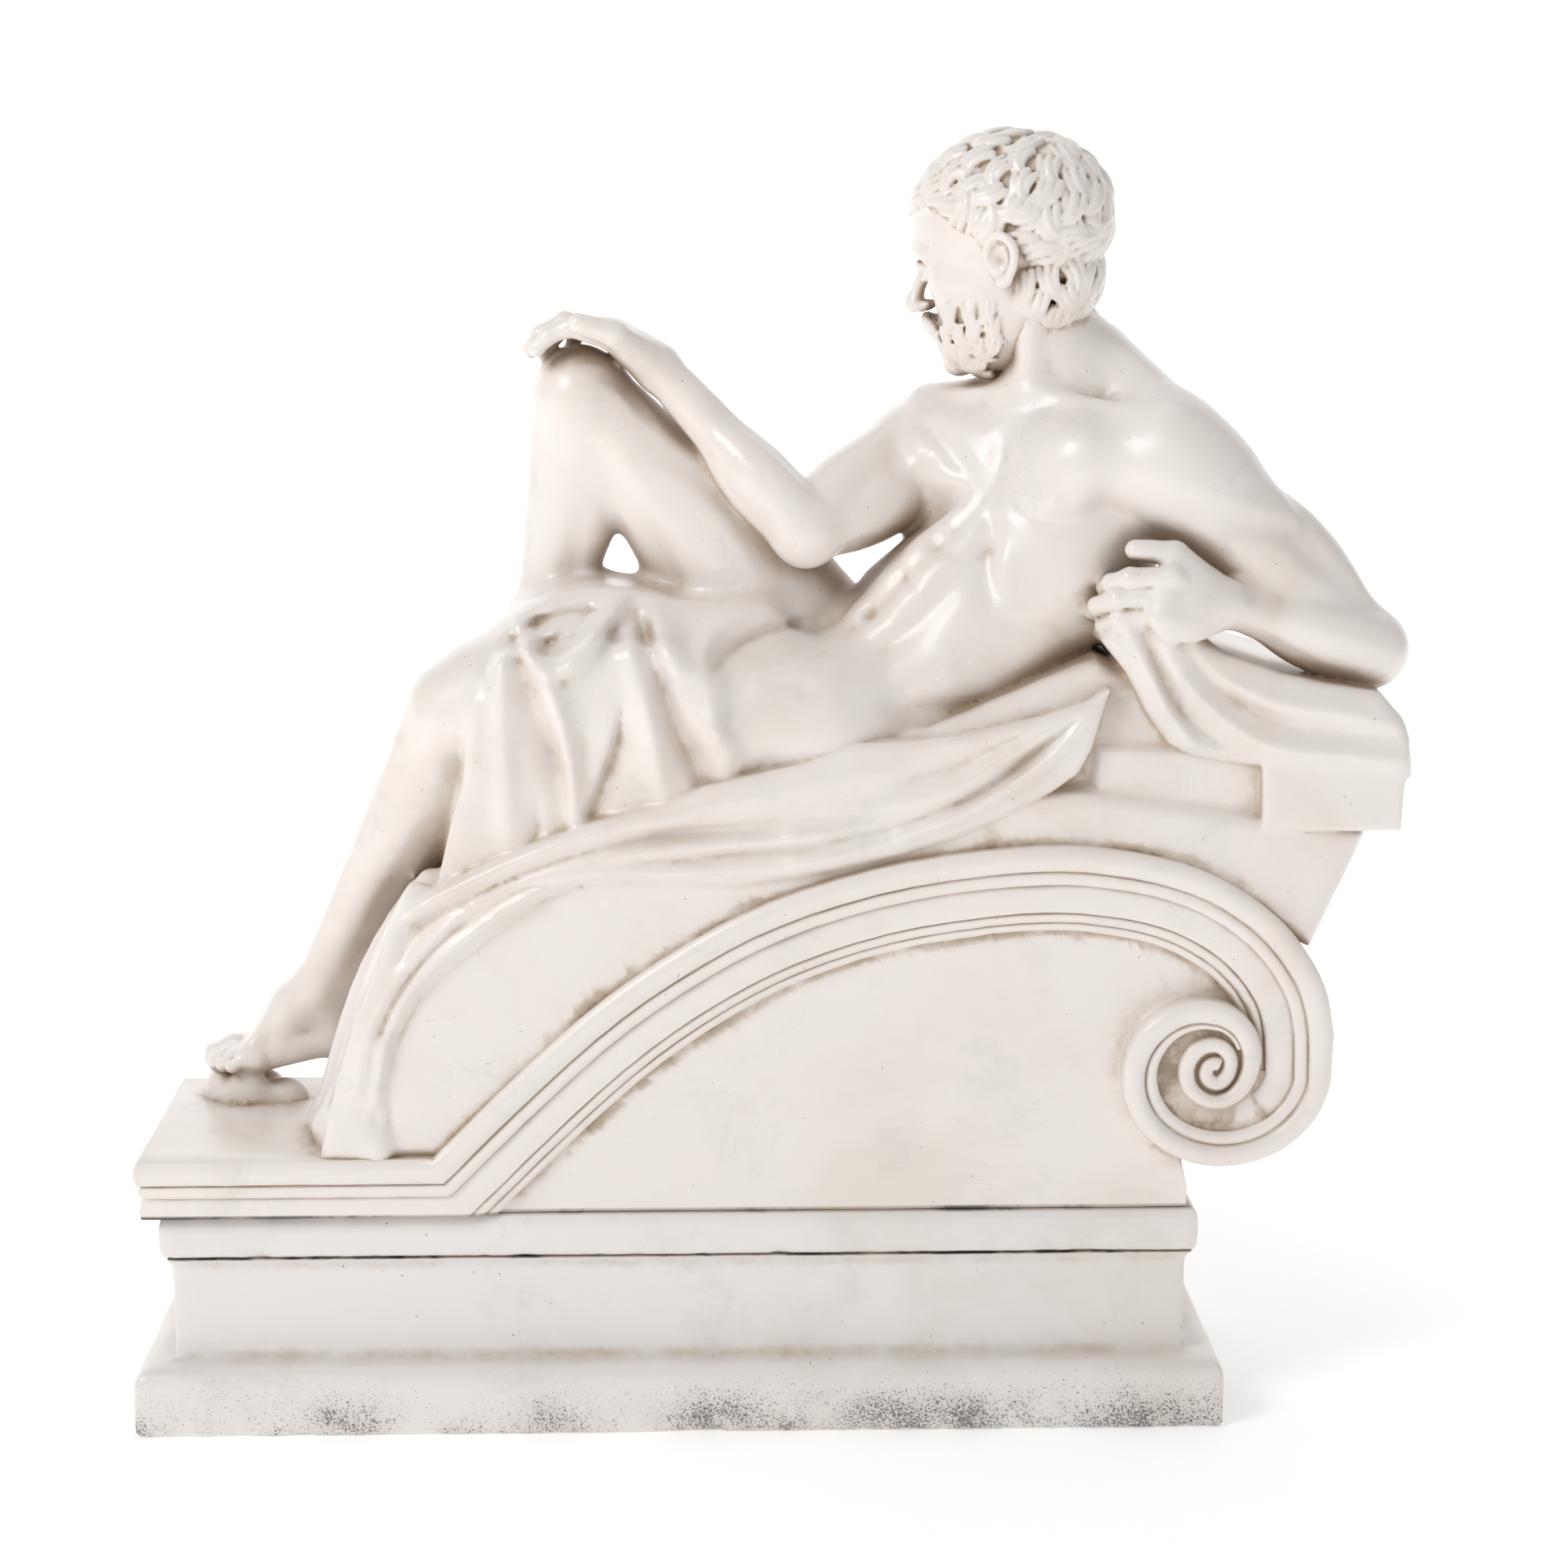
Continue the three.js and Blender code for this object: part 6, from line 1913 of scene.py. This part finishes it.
@dataclass(frozen=True)
class Marble:
    """A polished marble with its patina, and painted shade in its hollows."""

    name: str
    light: tuple
    warm: tuple
    polish: float
    patina: float
    lines: float
    specks: float
    relief: float
    ground_stain: float

    def build(self) -> bpy.types.Material:
        """Build the material from the shared groups."""
        material = bpy.data.materials.new(self.name)
        material.use_nodes = True
        g = Graph(material.node_tree)
        clouds = self._place(g, "marble_clouds", clouds_group, Light=self.light, Warm=self.warm)
        # The dirt group also paints shade into the hollows, besides patina and dirt.
        dirt_and_shade = self._place(g, "old_dirt_and_painted_shade", patina_dirt_and_shade_group, Color=clouds["Color"], Patina=self.patina,
                           Lines=self.lines)
        seams = self._place(g, "seams_and_ground", seams_group, Color=dirt_and_shade["Color"],
                            Ground=self.ground_stain)
        pits = self._place(g, "pits_and_specks", pits_group, Color=seams["Color"],
                           Specks=self.specks, Relief=self.relief)
        rough = g.plus(self.polish, g.times(dirt_and_shade["Mask"], 0.35))
        rough = g.plus(rough, g.times(clouds["Patches"], 0.12), clamp=True)
        bump = g.node("Bump", None, Strength=0.35, Distance=0.0012, Height=pits["Height"])
        shader = g.node("BsdfPrincipled", None, Base_Color=pits["Color"], Roughness=rough,
                        Normal=bump.outputs[0], IOR=1.49, Subsurface_Weight=0.12,
                        Subsurface_Radius=(0.9, 0.75, 0.6), Subsurface_Scale=0.003,
                        Coat_Weight=0.25, Coat_Roughness=0.2)
        g.node("OutputMaterial", None, Surface=shader.outputs[0])
        return material

    def _place(self, g: Graph, name: str, make: Callable[[], Tree],
               **inputs: object) -> bpy.types.NodeOutputs:
        """Place a shared group, making it the first time, and give its outputs."""
        tree = bpy.data.node_groups.get(name) or make()
        return g.node("Group", {"node_tree": tree}, **inputs).outputs


STATUE_MARBLE = Marble("statue_marble", rgb(242, 235, 229), rgb(226, 213, 201), 0.27, 0.95, 0.35,
                       0.5, 0.7, 0.0)
PLINTH_MARBLE = Marble("plinth_marble", rgb(239, 235, 231), rgb(226, 217, 208), 0.34, 0.7, 0.5,
                       0.85, 1.2, 0.9)


# --- the part
@dataclass
class Statue:
    """The carved block: the man, couch and cloths joined with the head and the lid."""

    pose: Pose
    quick: bool

    def build(self) -> Thing:
        """Build the statue as one closed object."""
        scale = 2.0 if self.quick else 1.0
        body = Figure(self.pose, FIGURE_CELL * scale).model()
        log.info("modelled the figure")
        head = Head(self.pose.face).model(HEAD_CELL * scale)
        log.info("modelled the head")
        stone = mesh_object("statue", *largest_shell(*body.surface()))
        head_mesh = mesh_object("head", *largest_shell(*head.surface()))
        log.info("surfaces: %d and %d faces", len(stone.data.polygons), len(head_mesh.data.polygons))
        thin(stone, FIGURE_FACES)
        thin(head_mesh, HEAD_FACES)
        unite(stone, [head_mesh, Lid().build()])
        log.info("joined: %d faces", len(stone.data.polygons))
        split_long_edges(stone)
        thin(stone, MOST_FACES)
        return stone


@dataclass
class Studio:
    """A pale floor that glows as painted light, soft lamps and the camera."""

    def build(self) -> None:
        """Build floor, world, lights and camera."""
        self._floor()
        self._world()
        self._light("key", (-1.9, -1.7, 2.3), 1.2, 36.0)
        self._light("fill", (2.4, -1.8, 1.2), 2.6, 2.0)
        self._light("top", (0.3, 0.5, 2.9), 1.8, 7.0)
        self._camera()

    def _floor(self) -> None:
        """Lay the floor, which sweeps up behind the statue and glows as painted light, less near the
        statue.
        """
        steps = 16
        section = [(-4000.0, -0.2)]
        for i in range(steps + 1):
            angle = i / steps * math.pi / 2
            section.append((2500.0 + 1500 * math.sin(angle), 1499.8 - 1500 * math.cos(angle)))
        section.append((4000.0, 4500.0))
        points = np.array([(x, y, z) for x in (-6000.0, 6000.0) for y, z in section])
        n = len(section)
        floor = mesh_object("floor", points, [(i, i + n, i + n + 1, i + 1) for i in range(n - 1)])
        floor.data.shade_smooth()
        paint = bpy.data.materials.new("pale_glowing_floor")
        paint.use_nodes = True
        g = Graph(paint.node_tree)
        colour = g.mix(g.noise(3.0, 2), rgb(252, 252, 252), rgb(248, 248, 248))
        # The floor glows as painted light: at about half near the statue, so that its shadow shows, and
        # full further off.
        away = g.node("VectorMath", {"operation": "LENGTH"}, i0=g.place).outputs["Value"]
        glow = g.mix(g.ramp(away, 0.45, 1.1), (0.48, 0.48, 0.48, 1.0), WHITE)
        shader = g.node("BsdfPrincipled", None, Base_Color=colour, Roughness=0.9,
                        Emission_Color=glow, Emission_Strength=0.6)
        g.node("OutputMaterial", None, Surface=shader.outputs[0])
        floor.data.materials.append(paint)

    def _world(self) -> None:
        """Set the pale surroundings."""
        world = bpy.data.worlds.new("studio")
        world.use_nodes = True
        g = Graph(world.node_tree)
        back = g.node("Background", None, Color=WHITE, Strength=0.42)
        g.node("OutputWorld", None, Surface=back.outputs[0])
        bpy.context.scene.world = world
        bpy.context.scene.view_settings.view_transform = "Standard"

    def _light(self, name: str, place: tuple, size: float, power: float) -> None:
        """Hang a square soft light that faces the statue."""
        lamp = bpy.data.lights.new(name, "AREA")
        lamp.size = size
        lamp.energy = power
        thing = place_object(name, lamp)
        thing.location = place
        aim = Vector((0.0, 0.0, 0.45)) - Vector(place)
        thing.rotation_euler = aim.to_track_quat("-Z", "Y").to_euler()

    def _camera(self) -> None:
        """Set the camera a little above the statue's middle, looking down."""
        lens = bpy.data.cameras.new("camera")
        lens.lens = 71.5
        thing = place_object("camera", lens)
        thing.location = (0.010, -2.275, 0.902)
        thing.rotation_euler = (math.radians(90 - 10.9), 0.0, math.radians(-1.5))
        bpy.context.scene.camera = thing


def finish_piece(thing: Thing, node: str, marble: Marble) -> None:
    """Weather, shade and dress a piece and let it stand for its node."""
    thing.data.validate()
    WeatheringAndShade().apply(thing)
    thing.data.shade_smooth()
    thing.data.set_sharp_from_angle(angle=SHARP_ANGLE)
    thing.data.materials.clear()
    thing.data.materials.append(marble.build())
    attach(thing, "root")
    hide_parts(node)
    log.info("%s: %d faces", thing.name, len(thing.data.polygons))


def main() -> None:
    """Build the studio, the plinth and the statue."""
    logging.basicConfig(level=logging.INFO, format="%(message)s")
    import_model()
    Studio().build()
    log.info("studio")
    finish_piece(Plinth().build(), "plinth", PLINTH_MARBLE)
    finish_piece(Statue(Pose(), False).build(), "reclining_figure", STATUE_MARBLE)


if __name__ == "__main__":
    main()
